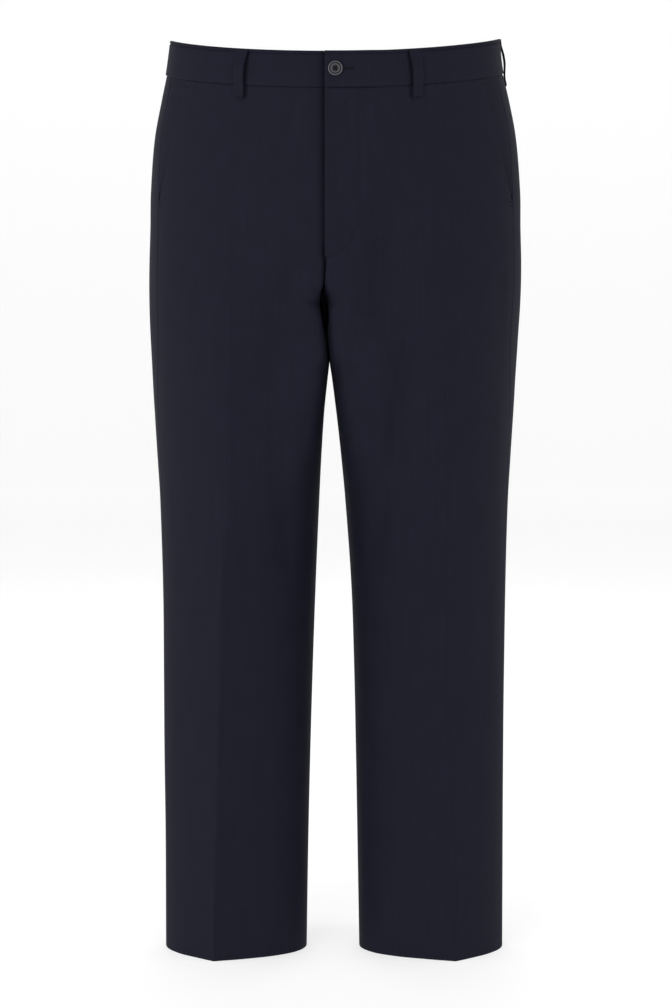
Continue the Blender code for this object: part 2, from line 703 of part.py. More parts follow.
def build():
    """Make every piece of the trousers."""
    for old in list(bpy.data.objects):
        bpy.data.objects.remove(old, do_unlink=True)
    pieces = new_collection(COLLECTION)
    cutters = new_collection(COLLECTION + "_cutters")

    for word, side in (("right", RIGHT), ("left", LEFT)):
        front_panel(f"front_{word}", side, pieces)
        back_panel(f"back_{word}", side, pieces)
        pocket_facing(f"pocket_facing_{word}", side, pieces)
    fly_placket(pieces)

    lap = BAND_CUT[2].out - BAND_CUT[8].out + GAP
    under_start = -round_at_x(LEFT, 0.0, BAND_UNDERLAP_X)
    over_start = -round_at_x(RIGHT, 0.0, BAND_LAP_X)
    waistband("waistband_right", RIGHT, under_start, 0.0, pieces)
    upper = waistband("waistband_left", LEFT, over_start, lap, pieces)
    cut(upper, buttonhole_cutter(cutters))
    waist_button(pieces, cutters, lap)

    for loop in LOOPS:
        round_ = loop.round if loop.x is None else round_at_x(loop.side, RIM_Z, loop.x)
        belt_loop(loop.name, loop.side, round_, loop.flare_to, pieces)
    belt_loop("belt_loop_back_centre", LEFT, 3.985, 0, pieces)


build()
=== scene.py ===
"""Dress trousers in very dark navy worsted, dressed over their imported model.

Every cloth piece is a thin shell on the same surface as its solid: a closed section at
each height, worked out from the table PROFILE. A place on the surface is named by its
side, by how far round it lies and by its height. Round a half, 0 is the centre front,
1 the front crease, 2 the side, 3 the back crease and 4 the centre back. Metres, +Z up,
the front faces -Y.
"""
import functools
import math
from collections import namedtuple

import bpy
import numpy as np
from bpy.props import FloatProperty, FloatVectorProperty, PointerProperty
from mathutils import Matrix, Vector
from mathutils.kdtree import KDTree


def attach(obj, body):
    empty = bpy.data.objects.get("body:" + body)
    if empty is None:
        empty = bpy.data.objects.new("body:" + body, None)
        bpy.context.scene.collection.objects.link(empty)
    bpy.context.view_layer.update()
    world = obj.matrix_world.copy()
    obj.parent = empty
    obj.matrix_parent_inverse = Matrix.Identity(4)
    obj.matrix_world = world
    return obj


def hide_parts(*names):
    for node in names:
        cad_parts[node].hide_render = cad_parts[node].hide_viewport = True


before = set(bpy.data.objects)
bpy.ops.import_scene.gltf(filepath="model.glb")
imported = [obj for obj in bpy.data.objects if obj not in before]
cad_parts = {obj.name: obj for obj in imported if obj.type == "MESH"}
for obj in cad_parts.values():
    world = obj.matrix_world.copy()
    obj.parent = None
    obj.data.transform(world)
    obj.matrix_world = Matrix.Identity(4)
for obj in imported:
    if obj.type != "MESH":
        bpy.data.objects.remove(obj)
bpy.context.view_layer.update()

bl_info = {
    "name": "Dress trousers",
    "version": (1, 0, 0),
    "blender": (4, 5, 0),
    "location": "3D view > Sidebar > Trousers",
    "description": "Makes a pair of dress trousers in dark worsted, piece by piece",
    "category": "Add Mesh",
}

COLLECTION = "dress_trousers"
RIGHT, LEFT = -1, 1

# Heights
RIM_Z = 0.0205
WAIST_SEAM_Z = -0.019
POCKET_END_Z = -0.163
FLY_CURVE_Z = -0.172
FLY_END_Z = -0.2225
FORK_Z = -0.278
HEM_Z = -1.02

# The floor round the piece and the wall it curves up into
FLOOR_RADIUS = 6.2
WALL_CURVE = 1.5
WALL_TOP = 3.4
FLOOR_COLOUR = (0.45, 0.45, 0.45)
FLOOR_GLOW = 0.615

# The photo's camera: its place, how many degrees it looks down and its lens in millimetres
CAMERA_PLACE = (0.001, -3.2, -0.22)
CAMERA_TILT = 5.0957
CAMERA_LENS = 100.0

# How the waist and the crotch are shaped
FRONT_DIP = 0.0203
BACK_DIP = 0.002
LEFT_RISE = 0.002
DIP_POWER = 1.4
DIP_FADE_Z = -0.2
HIP_POWER = 2.2
LEG_STARTS_Z = -0.15
LEG_IS_FULL_Z = -0.37
FRONT_CROTCH_RISE = 0.044
BACK_CROTCH_RISE = 0.14
FRONT_CROTCH_SLOPE = 1.5
BACK_CROTCH_SLOPE = 1.1
FORK_EASE = 0.024
FORK_SOFTENING = 0.007
FORK_SOFT_NEAR = 0.03
FORK_SOFT_FAR = 0.07
BACK_CREASE_INSET = 0.014
FORK_Y = 0.008
FORK_SETTLES_Z = -0.42
THIGH_SQUARENESS = 0.75
THIGH_SQUARE_TO_Z = -0.36
THIGH_ROUND_FROM_Z = -0.56
CROTCH_FULLNESS = 1.6
CROTCH_FULL_FROM_Z = -0.35
CROTCH_FULL_TO_Z = -0.32

# Waistband, fly, button and pockets
BAND_LAP_X = -0.0112
BAND_UNDERLAP_X = 0.024
BAND_LAP = 0.0031
LAP_ENDS = 0.34
LAP_SETTLES = 0.56
BAND_FACE = 0.0012
FLY_TROUGH = 0.005
TROUGH_WIDTH = 0.0052
FLY_LIFT = 0.0013
FLY_FOLD_WIDTH = 0.006
FLY_SEWN_DOWN = 0.001
FLY_SEWN_WIDTH = 0.0045
FLY_END_FADE = (0.0002, -0.0016)
FLY_TOP_TUCK = 0.0006
FLY_TOP_FADE = 0.0016
FLY_CLOTH_SHARE = 0.7
FLY_PAST_STITCHES = 0.0022
FLY_STITCH_X = 0.0265
BUTTON_X = 0.0002
BUTTON_Z = -0.0199
BUTTON_DRAWN = 0.016
BUTTON_HOLE = 0.0009
# The colour of the painted shade in the button's grooves and dished middle
BUTTON_GROOVE_SHADE = (0.009, 0.009, 0.011)
BUTTON_STANDS_OFF = 0.0008
SLIT_HALF_WIDTH = 0.00007
HOLE_SLACK = 0.0015
POCKET_TOP_X = 0.1655
FACING_TUCK = 0.018
FACING_SETTLES = 0.008
FACING_UNDER = -0.002
LEVEL = 0.0005

# How the front loops draw the cloth in: along their inner edges, more at their tails
LOOP_DRAW, LOOP_DRAW_WIDTH = 0.003, 0.0024
LOOP_TAIL_DRAW, LOOP_TAIL_WIDTH = 0.0046, 0.0017
LOOP_TAIL_DROP = (0.04, 0.044)
LOOP_DRAW_STARTS = 0.006
LOOP_DRAW_FADE = 0.0016
LOOP_DRAW_INSET = 0.0021
UNDER_LOOP_DRAW, UNDER_LOOP_DROP = 0.0014, 0.0006
UNDER_LOOP_HEIGHT, UNDER_LOOP_WIDTH = 0.001, 0.0052

# How many rows a panel has, and how its cloth and the waistband's wave
PANEL_ROWS = 290
PANEL_WAVE, PANEL_WAVE_LENGTH = 0.00022, 0.045
BAND_WAVE, BAND_WAVE_LENGTH = 0.00018, 0.05
WAVE_INSET = 0.03
HEM_EDGE = 0.0012

# Low relief in the panels: depths, widths and the heights between which it fades
DART_DEPTH, DART_WIDTH = 0.0006, 0.001
DART_END_Z = (-0.118, -0.085)
CREASE_DEPTH, CREASE_WIDTH = 0.0004, 0.0008
CREASE_TOP_Z = (-0.36, -0.42)
GROOVE_DEPTH, GROOVE_WIDTH, GROOVE_SHIFT = 0.0032, 0.0024, 0.0006
GROOVE_TOP_Z = (-0.205, -0.226)
GROOVE_END_Z = (-0.312, -0.292)
FLY_TROUGH_END_Z = (-0.3, -0.27)
FLAT_SEAM_TOP_Z = (-0.238, -0.252)
FLAT_SEAM_END_Z = (-0.362, -0.348)

# How wide and how deep a turned-under edge rolls over
SEAM_ROLL = (0.0011, 0.0009)
TOP_ROLL = (0.0016, 0.0014)
HEM_ROLL = (0.001, 0.0008)
FLY_ROLL = (0.0012, 0.0007)
BAND_END_ROLL = (0.0014, 0.0011)

# Stitches and thread
STITCH_RADIUS = 0.00013
STITCH_GAP = 0.0007
STITCH_STANDS_OFF = 0.00018
TACK_STEP = 0.00032
TACK_RADIUS, TACK_BOW = 0.00016, 0.0001
TACK_REACH, TACK_ZIGZAG = 0.0006, 0.00012
TACK_STANDS_OFF = 0.00005
HOLE_STITCH_STEP = 0.0004
HOLE_STITCH_RADIUS, HOLE_STITCH_BOW = 0.00019, 0.00012
HOLE_STITCH_FROM, HOLE_STITCH_TO = 0.00012, 0.0012
HOLE_CORD_RADIUS = 0.0003
OVER_BUTTON_RADIUS, OVER_BUTTON_BOW = 0.00024, 0.0007
OVER_BUTTON_UP, OVER_BUTTON_SHIFT, OVER_BUTTON_PAST = 0.0021, 0.00022, 0.0004
SHANK_TURNS = 9
SHANK_RADIUS, SHANK_THREAD_RADIUS = 0.0008, 0.00026

# The pocket tacks: how high each lies, and how far it reaches into the front
POCKET_TACKS = (
    (POCKET_END_Z + 0.0012, 0.008),
    (POCKET_END_Z - 0.003, 0.008),
    (WAIST_SEAM_Z - 0.0075, 0.0055),
)
POCKET_TACK_INSET = 0.0006

# One row for each section. out and inn are the outermost and innermost x of each leg,
# crease is where the pressed crease lies, front and back are the depths of the section,
# and ridge_in and ridge_out are the slopes in degrees on either side of the crease.
# seam_in is how far the side seam lies inside the outline.
Section = namedtuple("Section", "z right_out left_out right_inn left_inn right_crease left_crease "
                     "front back ridge_in ridge_out seam_in")
PROFILE = tuple(Section(*row) for row in (
    (0.0205, -0.1849, 0.1851, -0.0055, -0.0055, -0.104, 0.101, 0.13, 0.126, 0, 0, 0.007),
    (0.0, -0.1876, 0.1865, -0.0055, -0.0055, -0.105, 0.102, 0.1325, 0.129, 0, 0, 0.007),
    (-0.019, -0.1905, 0.1894, -0.0055, -0.0055, -0.106, 0.103, 0.134, 0.132, 0, 0, 0.008),
    (-0.045, -0.196, 0.1957, -0.0055, -0.0055, -0.1075, 0.1045, 0.135, 0.1385, 0, 0, 0.009),
    (-0.09, -0.2044, 0.2046, -0.0055, -0.0055, -0.11, 0.108, 0.1365, 0.149, 0, 0, 0.01),
    (-0.15, -0.209, 0.2103, -0.0055, -0.0055, -0.113, 0.112, 0.1365, 0.158, 0, 0, 0.012),
    (-0.19, -0.2097, 0.211, -0.0055, -0.0055, -0.114, 0.114, 0.135, 0.16, 2, 6, 0.012),
    (-0.225, -0.2108, 0.2118, -0.0095, -0.0095, -0.115, 0.115, 0.132, 0.157, 3, 8, 0.012),
    (-0.25, -0.2114, 0.2117, -0.0112, -0.0112, -0.1155, 0.116, 0.129, 0.152, 4, 10, 0.012),
    (-0.278, -0.2115, 0.2107, -0.012, -0.012, -0.116, 0.117, 0.126, 0.145, 5, 12, 0.012),
    (-0.305, -0.211, 0.209, -0.0103, -0.0103, -0.1165, 0.118, 0.123, 0.137, 5, 14, 0.012),
    (-0.33, -0.2098, 0.2075, -0.0078, -0.0078, -0.1168, 0.1187, 0.1203, 0.1309, 6, 15, 0.011),
    (-0.342, -0.2092, 0.2067, -0.0066, -0.0064, -0.117, 0.119, 0.119, 0.128, 6, 16, 0.01),
    (-0.36, -0.2083, 0.2056, -0.0084, -0.0036, -0.1175, 0.1195, 0.117, 0.124, 6, 17, 0.008),
    (-0.4, -0.206, 0.2036, -0.0125, 0.0015, -0.1183, 0.12, 0.1125, 0.1165, 8, 20, 0.006),
    (-0.45, -0.2032, 0.2007, -0.0157, 0.0069, -0.1193, 0.1212, 0.107, 0.11, 10, 23, 0.005),
    (-0.5, -0.2005, 0.1981, -0.0181, 0.0116, -0.1207, 0.1225, 0.102, 0.105, 11, 26, 0.004),
    (-0.6, -0.1979, 0.1957, -0.0224, 0.0187, -0.1272, 0.1237, 0.0935, 0.0965, 13, 30, 0.004),
    (-0.7, -0.1974, 0.1948, -0.0259, 0.022, -0.1294, 0.1246, 0.0875, 0.0895, 14, 33, 0.004),
    (-0.8, -0.1973, 0.1944, -0.0288, 0.0241, -0.1325, 0.1284, 0.084, 0.085, 15, 36, 0.004),
    (-0.9, -0.1966, 0.1941, -0.0311, 0.0259, -0.1352, 0.1355, 0.0812, 0.0815, 16, 39, 0.004),
    (-1.02, -0.1966, 0.1944, -0.033, 0.028, -0.1381, 0.1372, 0.0793, 0.079, 17, 41, 0.004),
))

# Soft troughs in the cloth, each a straight run seen from the front or the back. The
# solids have the third to the fourteenth too, only softer.
Fold = namedtuple("Fold", "face x_top z_top x_low z_low width depth")
FOLDS = tuple(Fold(*row) for row in (
    ("front", 0.06, -0.15, 0.056, -0.275, 0.024, 0.007),
    ("front", 0.076, -0.34, 0.072, -0.45, 0.018, 0.0058),
    ("front", 0.053, -0.115, 0.047, -0.21, 0.01, 0.0034),
    ("front", 0.048, -0.22, 0.04, -0.275, 0.01, 0.004),
    ("front", 0.073, -0.325, 0.064, -0.43, 0.011, 0.0044),
    ("front", 0.061, -0.45, 0.04, -0.57, 0.012, 0.0044),
    ("front", -0.048, -0.245, -0.072, -0.36, 0.013, 0.0042),
    ("front", -0.062, -0.42, -0.056, -0.56, 0.013, 0.004),
    ("back", -0.04, -0.295, -0.15, -0.335, 0.018, 0.0042),
    ("back", 0.035, -0.29, 0.145, -0.345, 0.017, 0.0046),
    ("back", -0.06, -0.37, -0.16, -0.4, 0.016, 0.003),
    ("back", 0.06, -0.385, 0.15, -0.42, 0.016, 0.0032),
    ("back", -0.07, -0.51, -0.16, -0.535, 0.017, 0.003),
    ("back", 0.07, -0.525, 0.15, -0.515, 0.016, 0.0028),
    ("front", 0.005, -0.036, 0.007, -0.064, 0.0035, 0.0008),
    ("front", 0.013, -0.034, 0.015, -0.072, 0.0035, 0.001),
    ("front", -0.02, -0.23, -0.024, -0.248, 0.004, 0.001),
    ("front", 0.04, -0.205, 0.03, -0.245, 0.006, 0.001),
    ("front", 0.006, -0.125, 0.012, -0.175, 0.007, 0.0008),
    ("front", -0.03, -0.29, -0.042, -0.34, 0.008, 0.0012),
    ("front", 0.018, -0.29, 0.026, -0.35, 0.008, 0.0012),
))

# The waistband's cut: how far up the band, and how far out from the trousers' surface.
# It goes up the outside, over the rolled rim and down the inside.
BAND_CUT = (
    (-0.014, -0.001), (0.0, -0.0004), (0.012, 0.0005), (0.03, 0.001), (0.06, BAND_FACE),
    (0.15, BAND_FACE), (0.3, BAND_FACE), (0.45, BAND_FACE), (0.6, BAND_FACE), (0.75, BAND_FACE),
    (0.85, BAND_FACE), (0.88, 0.0011), (0.896, 0.0006), (0.906, 0.0001), (0.916, 0.0008),
    (0.935, 0.0014), (0.96, 0.0013), (0.982, 0.0008), (0.995, 0.0002), (1.0, -0.0004),
    (0.995, -0.001), (0.98, -0.0014), (0.95, -0.0016), (0.88, -0.0016), (0.6, -0.0016),
    (0.3, -0.0016), (0.06, -0.0016), (-0.014, -0.0014),
)

# A belt loop from its top to its turned-under end: how far below the rim, how far its
# inner face stands off the surface, its thickness and how much wider it flares inward.
LoopRow = namedtuple("LoopRow", "drop stand_off thick flare")
LOOP_ROWS = tuple(LoopRow(*row) for row in (
    (0.0004, 0.0012, 0.0011, 0.0028), (0.004, 0.001, 0.0014, 0.0026),
    (0.009, 0.0012, 0.0018, 0.0017), (0.015, 0.0025, 0.002, 0.0007),
    (0.022, 0.0034, 0.002, 0.0002), (0.03, 0.0032, 0.002, 0.0), (0.037, 0.002, 0.0018, 0.0),
    (0.042, 0.001, 0.0017, 0.0), (0.047, 0.0004, 0.0017, 0.0), (0.051, 0.0002, 0.0019, 0.0),
    (0.053, 0.0002, 0.0014, 0.0),
))

# Where each belt loop sits: the side, how far round, and which way it flares.
Loop = namedtuple("Loop", "node side x round flare_to")
LOOPS = tuple(Loop(*row) for row in (
    ("belt_loop_front_right", RIGHT, -0.1025, None, -1),
    ("belt_loop_front_left", LEFT, 0.0882, None, -1),
    ("belt_loop_side_right", RIGHT, None, 2.42, 0),
    ("belt_loop_side_left", LEFT, None, 2.01, 0),
    ("belt_loop_back_right", RIGHT, None, 2.98, 0),
    ("belt_loop_back_left", LEFT, None, 2.98, 0),
    ("belt_loop_back_centre", LEFT, None, 3.985, 0),
))

# The button's outline, as radius and height over its back: from its dished middle out
# over its two ridges, then round the rim to its back.
BUTTON_TURN = (
    (0.0027, 0.0021), (0.0031, 0.0018), (0.0035, 0.0023), (0.004, 0.0033), (0.0045, 0.0036),
    (0.005, 0.0032), (0.0054, 0.0021), (0.0058, 0.0017), (0.0062, 0.0021), (0.0066, 0.0033),
    (0.007, 0.0037), (0.0075, 0.0035), (0.0079, 0.0028), (0.0081, 0.0019), (0.0079, 0.001),
    (0.0073, 0.0004), (0.0062, 0.0001),
)


def smooth_step(start, end, value):
    """Go smoothly from 0 at start to 1 at end."""
    t = np.clip((value - start) / (end - start), 0.0, 1.0)
    return t * t * (3 - 2 * t)


def mix(a, b, share):
    """Lie between a and b."""
    return a + (b - a) * share


def hump(distance, width, power=2):
    """A soft bump, 1 high at its middle."""
    return np.exp(-(distance / width) ** power)


def cubic(t, a, slope_a, b, slope_b):
    """The smooth curve from a to b that has these slopes at its ends."""
    return ((2 * t ** 3 - 3 * t ** 2 + 1) * a + (t ** 3 - 2 * t ** 2 + t) * slope_a
            + (3 * t ** 2 - 2 * t ** 3) * b + (t ** 3 - t ** 2) * slope_b)


def unit(vectors):
    """Vectors brought to length 1."""
    return vectors / np.maximum(1e-12, np.linalg.norm(vectors, axis=-1, keepdims=True))


def run_along(points):
    """How far each point of a line lies from the first."""
    steps = np.linalg.norm(np.diff(points, axis=0), axis=1)
    return np.concatenate(([0.0], np.cumsum(steps)))


def at_run(distance, run, rows):
    """The value at a distance along a line, between its points' rows of numbers."""
    return np.array([np.interp(distance, run, column) for column in rows.T])


def turn_steps(count):
    """Angles spread evenly round a circle."""
    return np.linspace(0.0, 2 * math.pi, count + 1)[:-1]


def clustered(count, fine=0.07, ramp=9):
    """Shares from 0 to 1 whose steps are small at both ends and even between."""
    steps = np.arange(count)
    near = np.minimum(1.0, np.minimum(steps, count - 1 - steps) / ramp)
    sizes = fine + (1 - fine) * near ** 1.5
    return np.concatenate(([0.0], np.cumsum(sizes) / sizes.sum()))


def rolled(distance, width, depth):
    """How far an edge that is turned under sinks, by the distance from it."""
    near = np.clip(1 - distance / width, 0.0, 1.0)
    return depth * (1 - np.sqrt(np.maximum(0.0, 1 - near ** 2)))


def unevenness(u, v, seed, size):
    """A faint waviness of cloth, the same each time, about 1 high."""
    turns = np.random.default_rng(seed)
    total = np.zeros(np.broadcast(u, v).shape)
    for _ in range(10):
        angle = turns.uniform(-0.9, 0.9)
        wave = size * turns.uniform(0.7, 2.2)
        phase = turns.uniform(0.0, 2 * math.pi)
        across = u * math.cos(angle) + v * math.sin(angle) * 0.4
        total = total + np.sin(2 * math.pi * across / wave + phase)
    return total / 3.2


# The trousers' surface ---------------------------------------------------------------


@functools.lru_cache(maxsize=None)
def profile_at(z):
    """The section at a height, on a smooth curve through the rows of PROFILE."""
    rows = PROFILE
    z = min(rows[0].z, max(rows[-1].z, z))
    k = 0
    while k < len(rows) - 2 and z < rows[k + 1].z:
        k += 1
    a, b = rows[k], rows[k + 1]
    before, after = rows[max(0, k - 1)], rows[min(len(rows) - 1, k + 2)]
    span = b.z - a.z
    return Section(*(
        cubic((z - a.z) / span, v1, (v2 - v0) / (b.z - before.z) * span,
              v2, (v3 - v1) / (after.z - a.z) * span)
        for v0, v1, v2, v3 in zip(before, a, b, after)))


def bend(p0, angle0, p1, angle1, t, square=1.0):
    """Points on the smooth bend from p0 to p1, which leaves and arrives at these angles."""
    turning = abs((angle1 - angle0 + math.pi) % (2 * math.pi) - math.pi)
    p0, p1 = np.array(p0), np.array(p1)
    reach = square * np.linalg.norm(p1 - p0) / (3 * math.cos(turning / 4) ** 2)
    q0 = p0 + reach * np.array((math.cos(angle0), math.sin(angle0)))
    q1 = p1 - reach * np.array((math.cos(angle1), math.sin(angle1)))
    t = np.asarray(t, float)[:, None]
    u = 1 - t
    return u ** 3 * p0 + 3 * u * u * t * q0 + 3 * u * t * t * q1 + t ** 3 * p1


def hip_section(outer, inner, crease, depth, share):
    """The hip section from the centre seam at 0 past the crease at 1 to the side at 2."""
    start = math.asin(inner / outer)
    middle = math.asin(crease / outer)
    lean = np.where(share <= 1, mix(start, middle, share), mix(middle, math.pi / 2, share - 1))
    rest = np.maximum(0.0, 1 - np.abs(np.sin(lean)) ** HIP_POWER)
    return np.stack((outer * np.sin(lean), depth * rest ** (1 / HIP_POWER)), axis=1)


def leg_section(outer, inner, crease, depth, ridges, height, slope, square, full, share):
    """A leg's section from the inseam at 0 past the crease at 1 to the side at 2.

    Above the fork the thigh would run on past the centre seam, so it is met there.
    """
    crest = (crease, depth)
    arrive = math.radians(ridges[0])
    past = slope * height ** 2 / (height + FORK_EASE) if height > 0 else 0.0
    start = (inner - past, 0.0)
    first = 0.0
    if past > 0:
        tries = np.linspace(0.0, 1.0, 401)
        line = bend(start, math.pi / 2, crest, arrive, tries, square)
        first = float(np.interp(inner, line[:, 0], tries))
    to_crest = mix(first, 1.0, np.minimum(share, 1.0))
    inside = bend(start, math.pi / 2, crest, arrive, to_crest, square)
    inside[:, 1] = depth * (1 - np.maximum(0.0, 1 - inside[:, 1] / depth) ** full)
    outside = bend(crest, -math.radians(ridges[1]), (outer, 0.0), -math.pi / 2,
                   np.maximum(share - 1.0, 0.0))
    return np.where(share[:, None] <= 1, inside, outside)


def exact_section(side, rounds, z):
    """Places on one half's section, seen from above, with x growing away from the middle."""
    row = profile_at(z)
    if side == LEFT:
        outer, inner, crease = row.left_out, row.left_inn, row.left_crease
    else:
        outer, inner, crease = -row.right_out, -row.right_inn, -row.right_crease
    height = z - FORK_Z
    leg = float(smooth_step(LEG_STARTS_Z, LEG_IS_FULL_Z, z))
    square = 1 + THIGH_SQUARENESS * float(smooth_step(THIGH_ROUND_FROM_Z, THIGH_SQUARE_TO_Z, z))
    points = np.empty((len(rounds), 2))
    for is_front, chosen in ((True, rounds <= 2), (False, rounds > 2)):
        if not chosen.any():
            continue
        if is_front:
            share, rise, slope = rounds[chosen], FRONT_CROTCH_RISE, FRONT_CROTCH_SLOPE
            depth, inn, fold_at = row.front, inner, crease
            ridges = (row.ridge_in, row.ridge_out)
            fuller = float(smooth_step(CROTCH_FULL_FROM_Z, CROTCH_FULL_TO_Z, z))
            full = square + CROTCH_FULLNESS * fuller
        else:
            share, rise, slope = 4 - rounds[chosen], BACK_CROTCH_RISE, BACK_CROTCH_SLOPE
            depth, inn = row.back, inner * (1 - float(smooth_step(0.0, rise, height)))
            fold_at = mix(crease - BACK_CREASE_INSET, inn + outer - crease, leg)
            ridges = (row.ridge_out, row.ridge_in)
            full = square
        thigh = 1 - float(smooth_step(0.0, rise, height))
        hip = hip_section(outer, inn, fold_at, depth, share)
        tube = leg_section(outer, inn, fold_at, depth, ridges, height, slope, square, full, share)
        blend = mix(thigh, leg, np.minimum(1.0, share))[:, None]
        half = hip + (tube - hip) * blend
        if is_front:
            half[:, 1] *= -1
        settle = FORK_Y * thigh * (1 - float(smooth_step(FORK_Z, FORK_SETTLES_Z, z)))
        half[:, 1] += settle * np.maximum(0.0, 1 - share)
        points[chosen] = half
    return points


def section(side, rounds, z):
    """Places on the section, averaged over a short height near the fork to soften it."""
    rounds = np.atleast_1d(np.asarray(rounds, float))
    far = float(smooth_step(FORK_SOFT_NEAR, FORK_SOFT_FAR, abs(z - FORK_Z)))
    reach = FORK_SOFTENING * (1 - far)
    if reach <= 0.0:
        return exact_section(side, rounds, z)
    total, weights = np.zeros((len(rounds), 2)), 0.0
    for step in np.linspace(-3.0, 3.0, 21):
        weight = math.exp(-step * step / 3)
        weights += weight
        total += weight * exact_section(side, rounds, z + step * reach)
    return total / weights


def fold_depth(x, y, z, depth, front):
    """How far the soft troughs press the cloth in."""
    facing = smooth_step(0.25, 0.75, np.abs(y) / depth)
    total = np.zeros(len(x))
    for fold in FOLDS:
        run_x, run_z = fold.x_low - fold.x_top, fold.z_low - fold.z_top
        at_x, at_z = x - fold.x_top, z - fold.z_top
        along = np.clip((at_x * run_x + at_z * run_z) / (run_x ** 2 + run_z ** 2), 0.0, 1.0)
        across = np.hypot(at_x - run_x * along, at_z - run_z * along)
        here = front if fold.face == "front" else ~front
        total += np.where(here, fold.depth * hump(across, fold.width), 0.0)
    return total * facing


def half_surface(side, rounds, z):
    """Points of one half's outer surface at a height."""
    flat = section(side, rounds, z)
    row = profile_at(z)
    x, y = side * flat[:, 0], flat[:, 1]
    front = y < 0
    fade = float(smooth_step(DIP_FADE_Z, WAIST_SEAM_Z, z))
    front_dip = FRONT_DIP * np.abs(y / row.front) ** DIP_POWER
    dip = np.where(front, front_dip, BACK_DIP * (y / row.back) ** 2)
    pressed = fold_depth(x, y, z, np.where(front, row.front, row.back), front)
    rise = LEFT_RISE * smooth_step(0.0, row.left_out, x)
    return np.stack((x, y + np.where(front, pressed, -pressed), z + (rise - dip) * fade), axis=1)


def surface(side, rounds, z):
    """Points of the outer surface. Below 0 they run on past the centre front."""
    rounds = np.atleast_1d(np.asarray(rounds, float))
    points = np.empty((len(rounds), 3))
    over = rounds < 0
    for chosen, own, at in ((~over, side, rounds), (over, -side, -rounds)):
        if chosen.any():
            points[chosen] = half_surface(own, at[chosen], z)
    return points


def outward(side, rounds, z):
    """The directions that point out of the surface."""
    step, height = 0.004, 0.0008
    rounds = np.atleast_1d(np.asarray(rounds, float))
    low, high = rounds - step, np.minimum(4.0, rounds + step)
    low = np.where(rounds >= 1.0, np.maximum(1.0, low), low)
    around = surface(side, high, z) - surface(side, low, z)
    upward = surface(side, rounds, z + height) - surface(side, rounds, z - height)
    return unit(side * np.cross(around, upward))


@functools.lru_cache(maxsize=None)
def round_at_x(side, z, x):
    """How far round the front the surface reaches x."""
    rounds = np.linspace(0.0, 2.0, 801)
    return float(np.interp(side * x, section(side, rounds, z)[:, 0], rounds))


def nudge(side, round_, z, distance):
    """Move a distance round the section."""
    step = math.copysign(0.01, distance)
    ends = surface(side, [round_, round_ + step], z)
    return round_ + distance * abs(step) / float(np.linalg.norm(ends[1] - ends[0]))


def side_seam(side, z):
    """How far round the side seam lies."""
    row = profile_at(z)
    outline = row.left_out if side == LEFT else row.right_out
    return round_at_x(side, z, outline - side * row.seam_in)


def pocket_edge(side, z):
    """How far round the front panel's edge lies: a straight slant down to the side seam."""
    share = (WAIST_SEAM_Z - z) / (WAIST_SEAM_Z - POCKET_END_Z)
    seam = side_seam(side, z)
    if share >= 1.0:
        return seam
    seam_x = float(section(side, seam, z)[0, 0])
    return min(seam, round_at_x(side, z, side * mix(POCKET_TOP_X, seam_x, max(0.0, share))))


def line_round(side, knots, z, patterns):
    """Points round the surface through the knots, spread by each stretch's pattern.

    It also gives how far each lies from the first, and the whole run's length.
    """
    rounds = [knots[0]]
    for low, high in zip(knots, knots[1:]):
        rounds.extend(np.linspace(low, high, 41)[1:])
    run = run_along(surface(side, rounds, z))
    wanted = [0.0]
    for k, pattern in enumerate(patterns):
        wanted.extend(mix(run[40 * k], run[40 * (k + 1)], pattern[1:]))
    wanted = np.array(wanted)
    return surface(side, np.interp(wanted, run, rounds), z), wanted, run[-1]


@functools.lru_cache(maxsize=None)
def front_line(level):
    """The front surface at a height of so many LEVELs, across both halves."""
    rounds = np.linspace(-1.0, 1.0, 401)
    points = surface(LEFT, rounds, level * LEVEL)
    rows = np.concatenate((points, outward(LEFT, rounds, level * LEVEL)), axis=1)
    return rows[np.concatenate(([True], np.diff(points[:, 0]) > 1e-7))]


def on_front(xs, zs):
    """Points of the front surface at places seen from the front, and the directions out."""
    found = []
    for x, z in np.broadcast(xs, zs):
        low = math.floor(z / LEVEL)
        lines = front_line(low), front_line(low + 1)
        under, over = (at_run(x, line[:, 0], line) for line in lines)
        found.append(mix(under, over, z / LEVEL - low))
    found = np.array(found)
    return found[:, :3], unit(found[:, 3:])


# Meshes ------------------------------------------------------------------------------


def collection():
    """The collection that holds the trousers."""
    found = bpy.data.collections.get(COLLECTION)
    if found is None:
        found = bpy.data.collections.new(COLLECTION)
        bpy.context.scene.collection.children.link(found)
    return found


def new_piece(name, points, faces, grain, material, nodes=()):
    """Make a piece of the trousers from its mesh, and hide the imported parts it stands for."""
    mesh = bpy.data.meshes.new(name)
    mesh.from_pydata([tuple(p) for p in points], [], faces)
    mesh.validate()
    if grain is not None:
        layer = mesh.attributes.new("grain", "FLOAT_VECTOR", "POINT")
        layer.data.foreach_set("vector", np.asarray(grain, np.float32).ravel())
    mesh.shade_smooth()
    mesh.materials.append(material)
    piece = bpy.data.objects.new(name, mesh)
    collection().objects.link(piece)
    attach(piece, "root")
    if nodes:
        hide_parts(*nodes)
    return piece


def grid_faces(rows, columns, first, flip):
    """The faces of a grid of points."""
    faces = []
    for i in range(rows - 1):
        for j in range(columns - 1):
            a = first + i * columns + j
            face = (a, a + 1, a + columns + 1, a + columns)
            faces.append(face[::-1] if flip else face)
    return faces


